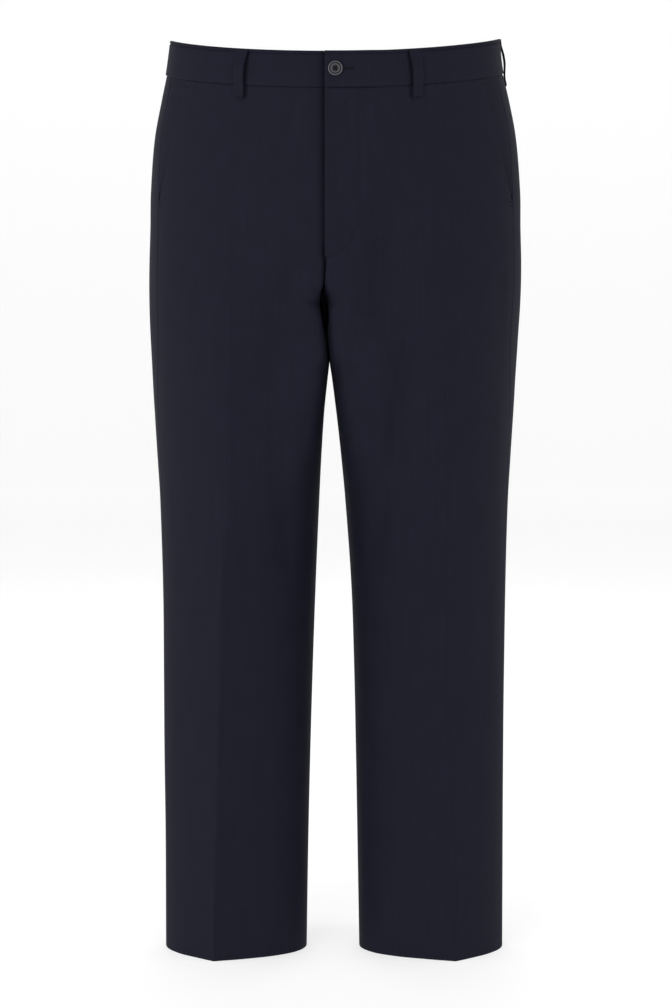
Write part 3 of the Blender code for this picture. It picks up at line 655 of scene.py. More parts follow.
def shell(outer, inner, flip):
    """A closed shell between two grids of points."""
    rows, columns = outer.shape[:2]
    count = rows * columns
    points = np.concatenate((outer.reshape(-1, 3), inner.reshape(-1, 3)))
    faces = grid_faces(rows, columns, 0, flip) + grid_faces(rows, columns, count, not flip)
    edge = list(range(columns))
    edge += [i * columns + columns - 1 for i in range(1, rows)]
    edge += [(rows - 1) * columns + j for j in range(columns - 2, -1, -1)]
    edge += [i * columns for i in range(rows - 2, 0, -1)]
    for a, b in zip(edge, edge[1:] + edge[:1]):
        face = (b, a, a + count, b + count)
        faces.append(face[::-1] if flip else face)
    return points, faces


def tube(rings, flip=False):
    """A closed solid: a loft through rings of points, with its two ends capped."""
    count, around = rings.shape[:2]
    faces = []
    for i in range(count - 1):
        for j in range(around):
            a, b = i * around + j, i * around + (j + 1) % around
            faces.append((a, b, b + around, a + around))
    faces.append(tuple(reversed(range(around))))
    faces.append(tuple((count - 1) * around + j for j in range(around)))
    if flip:
        faces = [face[::-1] for face in faces]
    return rings.reshape(-1, 3), faces


def grain_at(run, z, cloth):
    """Where points lie in the weave. The last number sets one cut of cloth off from another."""
    return np.stack(np.broadcast_arrays(run, z, cloth), axis=-1)


def cloth_piece(name, node, points, faces, grain):
    """A piece of suiting that stands for a node."""
    return new_piece(name, points, faces, grain, suiting(), (node,))


def cloth_shell(name, node, outer, inner, grain, flip):
    """A piece of suiting between two grids of points with the same grain."""
    points, faces = shell(np.array(outer), np.array(inner), flip)
    grain = np.array(grain).reshape(-1, 3)
    return cloth_piece(name, node, points, faces, np.concatenate((grain, grain)))


def cloth_panel(node, side, seed, ends, knot, patterns):
    """A trouser panel with turned-under seam edges and a turned-up hem."""
    sizes = bpy.context.scene.trouser_sizes
    heights = mix(WAIST_SEAM_Z, HEM_Z, clustered(PANEL_ROWS, 0.06, 10))
    grid, along, rest = [], [], []
    for z in heights:
        z = float(z)
        start, end = ends(z)
        points, run, whole = line_round(side, [start, knot, end], z, patterns)
        grid.append(points)
        along.append(run)
        rest.append(whole - run)
    grid, along, rest = np.array(grid), np.array(along), np.array(rest)
    normals = unit(side * np.cross(np.gradient(grid, axis=0), np.gradient(grid, axis=1)))
    heights = heights[:, None]
    above = heights - HEM_Z
    at_fork = 1 - smooth_step(*FLAT_SEAM_TOP_Z, heights) * smooth_step(*FLAT_SEAM_END_Z, heights)
    at_start, at_end = (at_fork, 1.0) if node.startswith("front") else (1.0, at_fork)
    lift = -rolled(along, *SEAM_ROLL) * at_start - rolled(rest, *SEAM_ROLL) * at_end
    lift = lift - rolled(WAIST_SEAM_Z - heights, *TOP_ROLL) - rolled(above, *HEM_ROLL)
    u = along - along[:, len(patterns[0]) - 1][:, None]
    v = np.broadcast_to(heights, u.shape)
    inland = smooth_step(0.0, WAVE_INSET, np.minimum(along, rest))
    lift = lift + inland * PANEL_WAVE * unevenness(u, v, seed, PANEL_WAVE_LENGTH)
    lift = lift - panel_relief(node, u, v, grid[..., 0])
    turn_up = 1 - smooth_step(sizes.hem_turn_up, sizes.hem_turn_up + HEM_EDGE, above)
    outer = grid + lift[..., None] * normals
    inner = grid + (lift - sizes.cloth - sizes.cloth * turn_up)[..., None] * normals
    piece = cloth_shell(f"{node}_cloth", node, outer, inner, grain_at(u, v, 0.0), side == LEFT)


def panel_relief(node, u, v, x):
    """How far the creases, the dart, the fly and the loops sink a panel's cloth."""
    if node.startswith("back"):
        return DART_DEPTH * smooth_step(*DART_END_Z, v) * hump(u, DART_WIDTH)
    sunk = beside_loops(x, v) + CREASE_DEPTH * smooth_step(*CREASE_TOP_Z, v) * hump(u, CREASE_WIDTH)
    if node == "front_right":
        sunk = sunk + FLY_TROUGH * smooth_step(*FLY_TROUGH_END_Z, v) * beside_fly(x)
    groove = GROOVE_DEPTH * smooth_step(*GROOVE_TOP_Z, v) * smooth_step(*GROOVE_END_Z, v)
    return sunk + groove * hump(x - BAND_LAP_X - GROOVE_SHIFT, GROOVE_WIDTH)


def beside_fly(x):
    """How far the cloth is pressed down under the lapped edge and just beside it."""
    return np.exp(-np.maximum(0.0, BAND_LAP_X - x) / TROUGH_WIDTH)


def beside_loops(x, z):
    """How far the cloth is drawn in beside the front loops and under their ends."""
    sizes = bpy.context.scene.trouser_sizes
    drop = RIM_Z - z
    end = LOOP_ROWS[-1].drop
    flare = np.interp(drop, [row.drop for row in LOOP_ROWS], [row.flare for row in LOOP_ROWS])
    below = smooth_step(*LOOP_TAIL_DROP, drop)
    drawn = mix(LOOP_DRAW, LOOP_TAIL_DRAW, below) * smooth_step(0.0, LOOP_DRAW_STARTS, drop)
    drawn = drawn * smooth_step(end + LOOP_DRAW_FADE, end - LOOP_DRAW_FADE, drop)
    total = 0.0
    for loop in LOOPS[:2]:
        inner = loop.x - loop.side * (sizes.loop_width / 2 + flare - LOOP_DRAW_INSET)
        total = total + drawn * hump(x - inner, mix(LOOP_DRAW_WIDTH, LOOP_TAIL_WIDTH, below))
        under = hump(drop - end - UNDER_LOOP_DROP, UNDER_LOOP_HEIGHT)
        under = under * hump(x - loop.x, UNDER_LOOP_WIDTH, 4)
        total = total + UNDER_LOOP_DRAW * under
    return total


# Operators ---------------------------------------------------------------------------


class TROUSERS_OT_fronts(bpy.types.Operator):
    """Make the two fronts, with pressed creases and slanted pocket edges"""
    bl_idname = "trousers.fronts"
    bl_label = "Fronts"

    def execute(self, context):
        for word, side, seed in (("right", RIGHT, 3), ("left", LEFT, 5)):
            cloth_panel(f"front_{word}", side, seed,
                        lambda z, side=side: (0.0, pocket_edge(side, z)), 1.0,
                        [clustered(46), clustered(40)])
        return {"FINISHED"}


class TROUSERS_OT_backs(bpy.types.Operator):
    """Make the two backs, with a dart under the waistband and pressed creases"""
    bl_idname = "trousers.backs"
    bl_label = "Backs"

    def execute(self, context):
        for word, side, seed in (("right", RIGHT, 7), ("left", LEFT, 11)):
            cloth_panel(f"back_{word}", side, seed,
                        lambda z, side=side: (side_seam(side, z), 4.0), 3.0,
                        [clustered(46), clustered(46)])
        return {"FINISHED"}


class TROUSERS_OT_pocket_facings(bpy.types.Operator):
    """Make the cloth that shows in the mouths of the slanted pockets"""
    bl_idname = "trousers.pocket_facings"
    bl_label = "Pocket facings"

    def execute(self, context):
        for word, side in (("right", RIGHT), ("left", LEFT)):
            pocket_facing(word, side)
        return {"FINISHED"}


def pocket_facing(word, side):
    """The cloth in a pocket mouth, tucked under the front's edge and sewn in the side seam."""
    sizes = bpy.context.scene.trouser_sizes
    shares = clustered(24, 0.1, 6)
    outer, inner, grain = [], [], []
    for z in mix(WAIST_SEAM_Z, POCKET_END_Z + 0.0005, clustered(60, 0.1, 6)):
        z = float(z)
        seam = nudge(side, side_seam(side, z), z, -0.0002)
        edge = pocket_edge(side, z)
        tucked = nudge(side, edge, z, -FACING_TUCK)
        shows = float(np.linalg.norm(np.diff(surface(side, [edge, seam], z), axis=0)))
        at_seam = FACING_UNDER * (1 - float(smooth_step(0.0, FACING_SETTLES, shows)))
        rounds = np.concatenate((np.linspace(tucked, edge, 7)[:-1], mix(edge, seam, shares)))
        lifts = mix(FACING_UNDER, at_seam, smooth_step(0, 1, shares))
        lifts = lifts - rolled((1 - shares) * shows, *SEAM_ROLL)
        lifts = np.concatenate((np.full(6, FACING_UNDER), lifts))
        points, out = surface(side, rounds, z), outward(side, rounds, z)
        outer.append(points + lifts[:, None] * out)
        inner.append(points + (lifts - sizes.cloth)[:, None] * out)
        grain.append(grain_at(run_along(points), z, 0.3))
    node = f"pocket_facing_{word}"
    piece = cloth_shell(f"{node}_cloth", node, outer, inner, grain, side == LEFT)


def fly_path(count):
    """The line of the fly's curved stitching, from the waist seam round to the fly's end.

    It also gives, for each point, the height at which the folded edge lies across from it.
    """
    straight = WAIST_SEAM_Z - FLY_CURVE_Z
    drop = FLY_CURVE_Z - FLY_END_Z
    bends = np.linspace(0.0, math.pi / 2, 200)
    curve_x = BAND_LAP_X + (FLY_STITCH_X - BAND_LAP_X) * np.cos(bends)
    xs = np.concatenate((np.full(50, FLY_STITCH_X), curve_x))
    down = np.linspace(WAIST_SEAM_Z, FLY_CURVE_Z, 51)[:-1]
    zs = np.concatenate((down, FLY_CURVE_Z - drop * np.sin(bends)))
    run = run_along(np.stack((xs, zs), axis=1))
    shares = np.clip((run - straight) / (run[-1] - straight), 0.0, 1.0)
    folds = np.where(run < straight, zs, FLY_CURVE_Z - drop * shares ** 0.8)
    return at_run(np.linspace(0.0, run[-1], count), run, np.stack((xs, zs, folds), axis=1))


class TROUSERS_OT_fly(bpy.types.Operator):
    """Make the lapped fly, from its folded edge to its curved stitching"""
    bl_idname = "trousers.fly"
    bl_label = "Fly"

    def execute(self, context):
        sizes = context.scene.trouser_sizes
        across = clustered(34, 0.10, 8)
        outer, inner, grain = [], [], []
        for x, z, fold in zip(*fly_path(150)):
            length = math.hypot(x - BAND_LAP_X, z - fold)
            shares = across * (1 + FLY_PAST_STITCHES / max(0.004, length))
            points, out = on_front(mix(BAND_LAP_X, x, shares), mix(fold, z, shares))
            distance = shares * length
            to_line = (1 - shares) * length
            lift = FLY_LIFT + FLY_LIFT * hump(distance, FLY_FOLD_WIDTH)
            lift = lift - rolled(distance, *FLY_ROLL)
            lift = lift - FLY_SEWN_DOWN * (1 - smooth_step(0.0, FLY_SEWN_WIDTH, to_line))
            lift = lift - FLY_SEWN_DOWN * smooth_step(*FLY_END_FADE, to_line)
            tuck = smooth_step(WAIST_SEAM_Z - FLY_TOP_FADE, WAIST_SEAM_Z, z)
            lift = lift - FLY_TOP_TUCK * tuck
            outer.append(points + lift[:, None] * out)
            inner.append(points + (lift - FLY_CLOTH_SHARE * sizes.cloth)[:, None] * out)
            grain.append(grain_at(distance, z, 0.6))
        piece = cloth_shell("fly_cloth", "fly_placket", outer, inner, grain, True)
        return {"FINISHED"}


def band_half(node, side, start, lap, seed):
    """Half of the waistband, from its end at the front to the centre back seam."""
    stops = [start, *([0.0] if start < 0 else []), 1.0, 2.0, 3.0, 4.0]
    counts = [14, 60, 60, 60, 60][-(len(stops) - 1):]
    places = [start]
    for low, high, count in zip(stops, stops[1:], counts):
        places.extend(np.linspace(low, high, count + 1)[1:])
    close = np.array((0.0, 0.04, 0.12, 0.28, 0.55))
    first = start + (places[1] - start) * close
    last = 4.0 - (4.0 - places[-2]) * close[::-1]
    places = np.concatenate((first, places[1:-1], last))
    middle = surface(side, places, 0.0)
    run = run_along(middle)
    lift = lap * (1 - smooth_step(LAP_ENDS, LAP_SETTLES, places))
    edge = rolled(run, *BAND_END_ROLL) + rolled(run[-1] - run, *SEAM_ROLL)
    if side == RIGHT:
        lift = lift - FLY_TROUGH * beside_fly(middle[:, 0])
    rings = np.empty((len(places), len(BAND_CUT), 3))
    grain = np.empty_like(rings)
    for k, (up, off) in enumerate(BAND_CUT):
        z = mix(WAIST_SEAM_Z, RIM_Z, up)
        wave = unevenness(run, np.full_like(run, z), seed, BAND_WAVE_LENGTH)
        wave = BAND_WAVE * wave if off > 0 else 0.0
        off = off + lift + wave - (edge if off > -0.0004 else 0.0)
        off = off - beside_loops(middle[:, 0], z) * (middle[:, 1] < 0)
        rings[:, k] = surface(side, places, z) + off[:, None] * outward(side, places, z)
        grain[:, k] = grain_at(run, z, 0.9)
    points, faces = tube(rings, side == RIGHT)
    return cloth_piece(f"{node}_cloth", node, points, faces, grain.reshape(-1, 3))


class TROUSERS_OT_waistband(bpy.types.Operator):
    """Make the two halves of the waistband, the left lapped over the right in front"""
    bl_idname = "trousers.waistband"
    bl_label = "Waistband"

    def execute(self, context):
        under = -round_at_x(LEFT, 0.0, BAND_UNDERLAP_X)
        over = -round_at_x(RIGHT, 0.0, BAND_LAP_X)
        for node, side, start, lap, seed in (("waistband_right", RIGHT, under, 0.0, 21),
                                             ("waistband_left", LEFT, over, BAND_LAP, 23)):
            piece = band_half(node, side, start, lap, seed)
            if side == LEFT:
                open_buttonhole(piece)
        return {"FINISHED"}


def button_frame():
    """Where the button sits on the waistband, which way it faces and the turn to there."""
    z = BUTTON_Z + FRONT_DIP
    round_ = round_at_x(LEFT, z, BUTTON_X)
    out = Vector(outward(LEFT, round_, z)[0])
    turn = Vector((0, 0, 1)).rotation_difference(out)
    return Vector(surface(LEFT, round_, z)[0]), out, turn


def open_buttonhole(band):
    """Cut the buttonhole through the half of the waistband that laps over the other."""
    sizes = bpy.context.scene.trouser_sizes
    seat, _, turn = button_frame()
    half = (sizes.buttonhole / 2, SLIT_HALF_WIDTH, 0.01)
    centre = seat + Vector((half[0] - HOLE_SLACK, 0, 0))
    corners = [(x, y, z) for x in (-1, 1) for y in (-1, 1) for z in (-1, 1)]
    corners = [centre + turn @ Vector([h * c for h, c in zip(half, corner)]) for corner in corners]
    cut_hole(band, corners,
             [(0, 1, 3, 2), (4, 6, 7, 5), (0, 4, 5, 1), (2, 3, 7, 6), (0, 2, 6, 4), (1, 5, 7, 3)])


def loop_rows(count):
    """A belt loop's rows, on a smooth curve through LOOP_ROWS."""
    table = np.array(LOOP_ROWS)
    drops = table[:, 0]
    slopes = np.gradient(table, drops, axis=0)
    rows = []
    for drop in mix(drops[0], drops[-1], clustered(count, 0.15, 6)):
        k = min(len(drops) - 2, int(np.searchsorted(drops, drop, side="right")) - 1)
        span = drops[k + 1] - drops[k]
        rows.append(LoopRow(*cubic((drop - drops[k]) / span, table[k], span * slopes[k],
                                   table[k + 1], span * slopes[k + 1])))
    return rows


def belt_loop(loop):
    """A belt loop, sewn at the rim and below the waist seam and clear of the band between."""
    sizes = bpy.context.scene.trouser_sizes
    round_ = loop.round if loop.x is None else round_at_x(loop.side, RIM_Z, loop.x)
    ring = turn_steps(24)
    square_x = np.sign(np.cos(ring)) * np.abs(np.cos(ring)) ** 0.35
    square_y = np.sign(np.sin(ring)) * np.abs(np.sin(ring)) ** 0.7
    crown = 0.0002 * (1 - square_x ** 2) * (square_y > 0)
    rings, grain = [], []
    for row in loop_rows(44):
        z = RIM_Z - row.drop
        middle = surface(loop.side, round_, z)[0]
        out = outward(loop.side, round_, z)[0]
        along = unit(surface(loop.side, nudge(loop.side, round_, z, 0.001), z)[0] - middle)
        low = -sizes.loop_width / 2 - (row.flare if loop.flare_to < 0 else 0.0)
        across = mix(low, sizes.loop_width / 2, (square_x + 1) / 2)
        depth = row.stand_off + row.thick * (square_y + 1) / 2 + crown
        rings.append(middle + across[:, None] * along + depth[:, None] * out)
        grain.append(grain_at(across, z, 1.2))
    points, faces = tube(np.array(rings), loop.side == LEFT)
    grain = np.array(grain).reshape(-1, 3)
    piece = cloth_piece(f"{loop.node}_cloth", loop.node, points, faces, grain)


class TROUSERS_OT_belt_loops(bpy.types.Operator):
    """Make the seven belt loops"""
    bl_idname = "trousers.belt_loops"
    bl_label = "Belt loops"

    def execute(self, context):
        for loop in LOOPS:
            belt_loop(loop)
        return {"FINISHED"}


class TROUSERS_OT_button(bpy.types.Operator):
    """Make the four-hole waist button with its thread and shank"""
    bl_idname = "trousers.button"
    bl_label = "Button"

    def execute(self, context):
        seat, out, turn = button_frame()
        back = seat + (BAND_LAP + BAND_FACE + BUTTON_STANDS_OFF) * out
        waist_button(back, np.array(turn.to_matrix()))
        button_thread(seat, back, out, turn)
        return {"FINISHED"}


def level_ring(radius, up, count):
    """Points round a level circle."""
    angles = turn_steps(count)
    return np.stack((radius * np.cos(angles), radius * np.sin(angles), np.full(count, up)), axis=1)


def waist_button(back, turn):
    """A turned button with a rim and four holes."""
    sizes = bpy.context.scene.trouser_sizes
    scale = sizes.button / BUTTON_DRAWN
    rings = [level_ring(scale * radius, up, 72) for radius, up in BUTTON_TURN]
    grain, faces = tube(np.array(rings), True)
    piece = new_piece("waist_button_turned", grain @ turn.T + np.array(back), faces, grain,
                      button_plastic(), ("waist_button",))
    for k in range(4):
        angle = math.pi / 4 + k * math.pi / 2
        spot = sizes.button_holes * np.array((math.cos(angle), math.sin(angle), 0.0))
        ends = [level_ring(BUTTON_HOLE, up, 24) + spot for up in (-0.004, 0.008)]
        points, faces = tube(np.array(ends))
        cut_hole(piece, points @ turn.T + np.array(back), faces)


def cut_hole(piece, points, faces):
    """Cut a closed shape out of a piece, which keeps the grain it had."""
    near = KDTree(len(piece.data.vertices))
    for vertex in piece.data.vertices:
        near.insert(vertex.co, vertex.index)
    near.balance()
    grain = [tuple(place.vector) for place in piece.data.attributes["grain"].data]
    mesh = bpy.data.meshes.new("hole")
    mesh.from_pydata([tuple(p) for p in points], [], faces)
    tool = bpy.data.objects.new("hole_cutter", mesh)
    collection().objects.link(tool)
    cut = piece.modifiers.new("hole", "BOOLEAN")
    cut.operation = "DIFFERENCE"
    cut.solver = "EXACT"
    cut.object = tool
    depsgraph = bpy.context.evaluated_depsgraph_get()
    opened = bpy.data.meshes.new_from_object(piece.evaluated_get(depsgraph))
    for vertex in opened.vertices:
        opened.attributes["grain"].data[vertex.index].vector = grain[near.find(vertex.co)[1]]
    piece.modifiers.clear()
    piece.data = opened
    bpy.data.objects.remove(tool, do_unlink=True)


def thread_ring(centre, radius, sideways, up):
    """Points round a thread."""
    angles = turn_steps(8)[:, None]
    return centre + radius * (np.cos(angles) * sideways + np.sin(angles) * up)


def thread_bar(start, end, radius, bow, up):
    """A length of thread between two points, bowed outward."""
    start, end = np.array(start), np.array(end)
    sideways = np.cross(unit(end - start), up)
    rings = []
    for t in np.linspace(0.0, 1.0, 9):
        centre = mix(start, end, t) + bow * math.sin(math.pi * t) ** 0.6 * up
        size = radius * (0.55 + 0.45 * math.sin(math.pi * t) ** 0.5)
        rings.append(thread_ring(centre, size, sideways, up))
    return np.array(rings)


def thread_piece(name, many, nodes=()):
    """One piece of sewing thread out of many closed tubes."""
    points, faces, count = [], [], 0
    for rings in many:
        part, part_faces = tube(rings)
        points.append(part)
        faces.extend(tuple(k + count for k in face) for face in part_faces)
        count += len(part)
    new_piece(name, np.concatenate(points), faces, None, sewing_thread(), nodes)


def button_thread(seat, back, out, turn):
    """Thread through the button's holes, wound into a shank behind it."""
    sizes = bpy.context.scene.trouser_sizes
    reach = sizes.button_holes * math.sqrt(0.5)
    up = np.array(out)
    many = []
    for x in (-reach, reach):
        for shift in (-OVER_BUTTON_SHIFT, OVER_BUTTON_SHIFT):
            low, high = (back + turn @ Vector((x + shift, way * (reach + OVER_BUTTON_PAST),
                                               OVER_BUTTON_UP)) for way in (-1, 1))
            many.append(thread_bar(low, high, OVER_BUTTON_RADIUS, OVER_BUTTON_BOW, up))
    base = seat + (BAND_FACE + 0.0001) * out
    length = (back - base).length
    for k in range(SHANK_TURNS):
        height = np.array(base + (k + 0.5) / SHANK_TURNS * length * out)
        rings = []
        for angle in turn_steps(24):
            spoke = np.array(turn @ Vector((math.cos(angle), math.sin(angle), 0.0)))
            centre = height + SHANK_RADIUS * spoke
            rings.append(thread_ring(centre, SHANK_THREAD_RADIUS, spoke, up))
        many.append(np.array([*rings, rings[0]]))
    thread_piece("button_thread", many, ("button_shank",))


class TROUSERS_OT_stitching(bpy.types.Operator):
    """Sew the fly's curve, the pocket tacks and the buttonhole"""
    bl_idname = "trousers.stitching"
    bl_label = "Stitching"

    def execute(self, context):
        xs, zs, _ = fly_path(240)
        points, out = on_front(xs[6:-6], zs[6:-6])
        thread_piece("fly_stitching", stitches(points + STITCH_STANDS_OFF * out, out))
        tacks = []
        for side in (RIGHT, LEFT):
            for z, reach in POCKET_TACKS:
                edge = pocket_edge(side, z)
                ends = nudge(side, edge, z, -reach), nudge(side, edge, z, -POCKET_TACK_INSET)
                rounds = np.linspace(*ends, 12)
                tacks.extend(bar_tack(surface(side, rounds, z), outward(side, rounds, z)))
        thread_piece("pocket_bar_tacks", tacks)
        thread_piece("buttonhole_stitches", buttonhole_stitches())
        return {"FINISHED"}


def stitches(points, normals):
    """Separate stitches of thread along a line of points."""
    length = bpy.context.scene.trouser_sizes.stitch
    run = run_along(points)
    many = []
    at = 0.3 * length
    while at + length < run[-1]:
        low, high = at_run(at, run, points), at_run(at + length, run, points)
        up = unit(at_run(at + length / 2, run, normals))
        many.append(thread_bar(low, high, STITCH_RADIUS, STITCH_RADIUS, up))
        at += length + STITCH_GAP
    return many


def bar_tack(line, normals):
    """A dense bar of short stitches across a line."""
    run = run_along(line)
    along = unit(line[-1] - line[0])
    many = []
    for k in range(int(run[-1] / TACK_STEP)):
        at = (k + 0.5) * TACK_STEP
        up = unit(at_run(at, run, normals))
        centre = at_run(at, run, line) + TACK_STANDS_OFF * up
        reach = TACK_REACH * np.cross(up, along) + TACK_ZIGZAG * (1 if k % 2 else -1) * along
        many.append(thread_bar(centre - reach, centre + reach, TACK_RADIUS, TACK_BOW, up))
    return many


def buttonhole_stitches():
    """Close stitches all round the buttonhole, and the cord laid along its slit."""
    length = bpy.context.scene.trouser_sizes.buttonhole
    seat, out, _ = button_frame()
    up = np.array(out)
    along = unit(np.array((1.0, 0.0, 0.0)) - up[0] * up)
    across = np.cross(up, along)
    start = np.array(seat) + (BAND_LAP + BAND_FACE + 0.0001) * up - HOLE_SLACK * along
    end = start + length * along
    count = int(length / HOLE_STITCH_STEP)
    spokes = [(start + k / count * length * along, way * across)
              for k in range(count + 1) for way in (-1, 1)]
    for centre, first in ((start, math.pi / 2), (end, -math.pi / 2)):
        for angle in np.linspace(first, first + math.pi, 9):
            spokes.append((centre, math.cos(angle) * along + math.sin(angle) * across))
    many = [thread_bar(at + HOLE_STITCH_FROM * spoke, at + HOLE_STITCH_TO * spoke,
                       HOLE_STITCH_RADIUS, HOLE_STITCH_BOW, up) for at, spoke in spokes]
    return [*many, thread_bar(start, end, HOLE_CORD_RADIUS, 0.0, up)]


# Finishes ----------------------------------------------------------------------------


def fill(tree, node, values):
    """Set a node's inputs, each to a value or to another node's output."""
    for name, value in values.items():
        if isinstance(value, bpy.types.NodeSocket):
            tree.links.new(value, node.inputs[name])
        else:
            node.inputs[name].default_value = value


def add_node(tree, kind, values, **settings):
    """Add a node with these settings and inputs, and give its outputs."""
    node = tree.nodes.new(f"ShaderNode{kind}")
    for name, value in settings.items():
        setattr(node, name, value)
    fill(tree, node, values)
    return node.outputs


def colours_between(tree, share, low, high):
    """A colour between two, by a share."""
    values = {"Factor": share, "A": low, "B": high}
    return add_node(tree, "Mix", values, data_type="RGBA")["Result"]


def numbers_between(tree, share, low, high):
    """A number between two, by a share."""
    return add_node(tree, "MapRange", {"Value": share, "To Min": low, "To Max": high})["Result"]


def bumps(tree, height, strength, distance):
    """Normals that follow a height."""
    values = {"Strength": strength, "Distance": distance, "Height": height}
    return add_node(tree, "Bump", values)["Normal"]


def opaque(colour, share=1.0):
    """A colour's share, with full alpha."""
    return (*[share * part for part in colour], 1.0)


def finish_named(name, inputs):
    """The material of this name, made the first time from what feeds its shader."""
    material = bpy.data.materials.get(name)
    if material is None:
        material = bpy.data.materials.new(name)
        material.use_nodes = True
        tree = material.node_tree
        values = inputs(tree, bpy.context.scene.trouser_looks)
        fill(tree, tree.nodes["Principled BSDF"], values)
    return material


def worsted_twill():
    """The twill effect: fine slanting wales, uneven yarns and a soft blotchiness."""
    group = bpy.data.node_groups.get("worsted_twill")
    if group:
        return group
    group = bpy.data.node_groups.new("worsted_twill", "ShaderNodeTree")
    for name, way, kind in (("Grain", "INPUT", "Vector"), ("Wales per metre", "INPUT", "Float"),
                            ("Height", "OUTPUT", "Float"), ("Shade", "OUTPUT", "Float")):
        group.interface.new_socket(name, in_out=way, socket_type=f"NodeSocket{kind}")
    entry = group.nodes.new("NodeGroupInput").outputs
    leave = group.nodes.new("NodeGroupOutput")

    def maths(kind, a, b=None):
        values = {0: a} if b is None else {0: a, 1: b}
        return add_node(group, "Math", values, operation=kind)[0]

    def noise(scale, detail, stretch=None):
        source = entry["Grain"]
        if stretch:
            source = add_node(group, "VectorMath", {0: source, 1: stretch}, operation="MULTIPLY")[0]
        texture = add_node(group, "TexNoise", {"Scale": scale, "Detail": detail, "Vector": source})
        return maths("SUBTRACT", texture["Fac"], 0.5)

    x, y, _ = add_node(group, "SeparateXYZ", {0: entry["Grain"]})
    slant = maths("ADD", x, maths("MULTIPLY", y, 0.62))
    phase = maths("MULTIPLY", maths("MULTIPLY", slant, entry["Wales per metre"]), 2 * math.pi)
    wales = maths("MULTIPLY", maths("SINE", phase), 0.5)
    weft = maths("MULTIPLY", maths("SINE", maths("MULTIPLY", y, 2 * math.pi * 1900)), 0.22)
    yarns = maths("MULTIPLY", noise(900.0, 2.0, (1.0, 0.06, 1.0)), 1.6)
    blotch = maths("MULTIPLY", noise(38.0, 3.0), 0.5)
    specks = maths("MULTIPLY", noise(1400.0, 1.0), 0.8)
    streaks = maths("MULTIPLY", noise(260.0, 2.0, (1.0, 0.05, 1.0)), 0.7)
    shade = maths("ADD", maths("ADD", blotch, specks), streaks)
    shade = maths("ADD", shade, maths("MULTIPLY", wales, 0.35))
    fill(group, leave, {"Height": maths("ADD", maths("ADD", wales, weft), yarns),
                        "Shade": maths("ADD", shade, 0.5)})
    return group


def suiting():
    """Very dark navy worsted twill, matte with a faint sheen where it turns away."""
    def inputs(tree, looks):
        grain = add_node(tree, "Attribute", {}, attribute_name="grain")["Vector"]
        twill = add_node(tree, "Group", {"Grain": grain, "Wales per metre": 1500.0},
                         node_tree=worsted_twill())
        cloth = opaque(looks.cloth_deep), opaque(looks.cloth_light)
        return {
            "Base Color": colours_between(tree, twill["Shade"], *cloth),
            "Roughness": numbers_between(tree, twill["Shade"], 0.66, 0.80),
            "Normal": bumps(tree, twill["Height"], 0.35, 0.0001),
            "Specular IOR Level": 0.06,
            "Sheen Weight": 0.01,
            "Sheen Roughness": 0.35,
            "Sheen Tint": (0.80, 0.86, 1.0, 1.0),
        }
    return finish_named("navy_worsted", inputs)


def sewing_thread():
    """Dark navy thread, twisted and slightly glossy."""
    def inputs(tree, looks):
        where = add_node(tree, "TexCoord", {})["Object"]
        ply = add_node(tree, "TexWave", {"Scale": 900.0, "Distortion": 1.5, "Vector": where},
                       bands_direction="DIAGONAL")["Fac"]
        plies = opaque(looks.thread, 0.6), opaque(looks.thread)
        return {
            "Base Color": colours_between(tree, ply, *plies),
            "Roughness": 0.7,
            "Normal": bumps(tree, ply, 0.5, 0.00005),
            "Specular IOR Level": 0.1,
        }
    return finish_named("navy_thread", inputs)


def button_plastic():
    """Dark polyester with a faint cloudiness, with painted shade darkening its grooves and dished
    middle while its ridges keep the polyester's own colour.
    """
    def inputs(tree, looks):
        where = add_node(tree, "TexCoord", {})["Object"]
        clouds = add_node(tree, "TexNoise", {"Scale": 260.0, "Detail": 4.0, "Distortion": 1.2,
                                             "Vector": where})["Fac"]
        cloudy = colours_between(tree, clouds, opaque(looks.button, 0.8), opaque(looks.button, 1.2))
        grain = add_node(tree, "Attribute", {}, attribute_name="grain")["Vector"]
        up = add_node(tree, "SeparateXYZ", {0: grain})[2]
        # Painted shade: the colour goes dark from the ridges down into the grooves and the dish,
        # where shade falls
        groove_shade_heights = {"Value": up, "From Min": 0.0021, "From Max": 0.0033}
        ridges = add_node(tree, "MapRange", groove_shade_heights)["Result"]
        return {
            "Base Color": colours_between(tree, ridges, opaque(BUTTON_GROOVE_SHADE), cloudy),
            "Roughness": numbers_between(tree, clouds, 0.34, 0.46),
            "Specular IOR Level": 0.3,
        }
    return finish_named("button_polyester", inputs)


# Stage -------------------------------------------------------------------------------


class TROUSERS_OT_stage(bpy.types.Operator):
    """Set up the pale floor, the soft lights and the camera"""
    bl_idname = "trousers.stage"
    bl_label = "Stage"

    def execute(self, context):
        scene, looks = context.scene, context.scene.trouser_looks
        scene.view_settings.view_transform = "Standard"
        backdrop()
        surround(looks.surround)
        for name, spot, aim_z, size, power in (
                ("key_light", (-1.5, -3.4, 0.6), -0.5, 2.2, looks.key_power),
                ("fill_light", (1.0, -3.6, 0.2), -0.5, 2.2, looks.fill_power),
                ("back_light", (0.0, 2.3, 1.7), HEM_Z, 2.4, looks.back_power),
                ("left_edge_light", (-2.6, -0.5, -0.3), -0.5, 1.6, looks.edge_power),
                ("right_edge_light", (2.6, -0.5, 0.2), -0.3, 1.6, 0.75 * looks.edge_power)):
            soft_light(name, spot, aim_z, size, power)
        data = bpy.data.cameras.new("photo_camera")
        data.lens = CAMERA_LENS
        data.sensor_width = 36.0
        data.sensor_fit = "AUTO"
        camera = bpy.data.objects.new("photo_camera", data)
        camera.location = CAMERA_PLACE
        camera.rotation_euler = (math.radians(90.0 - CAMERA_TILT), 0.0, 0.0)
        scene.collection.objects.link(camera)
        scene.camera = camera
        return {"FINISHED"}


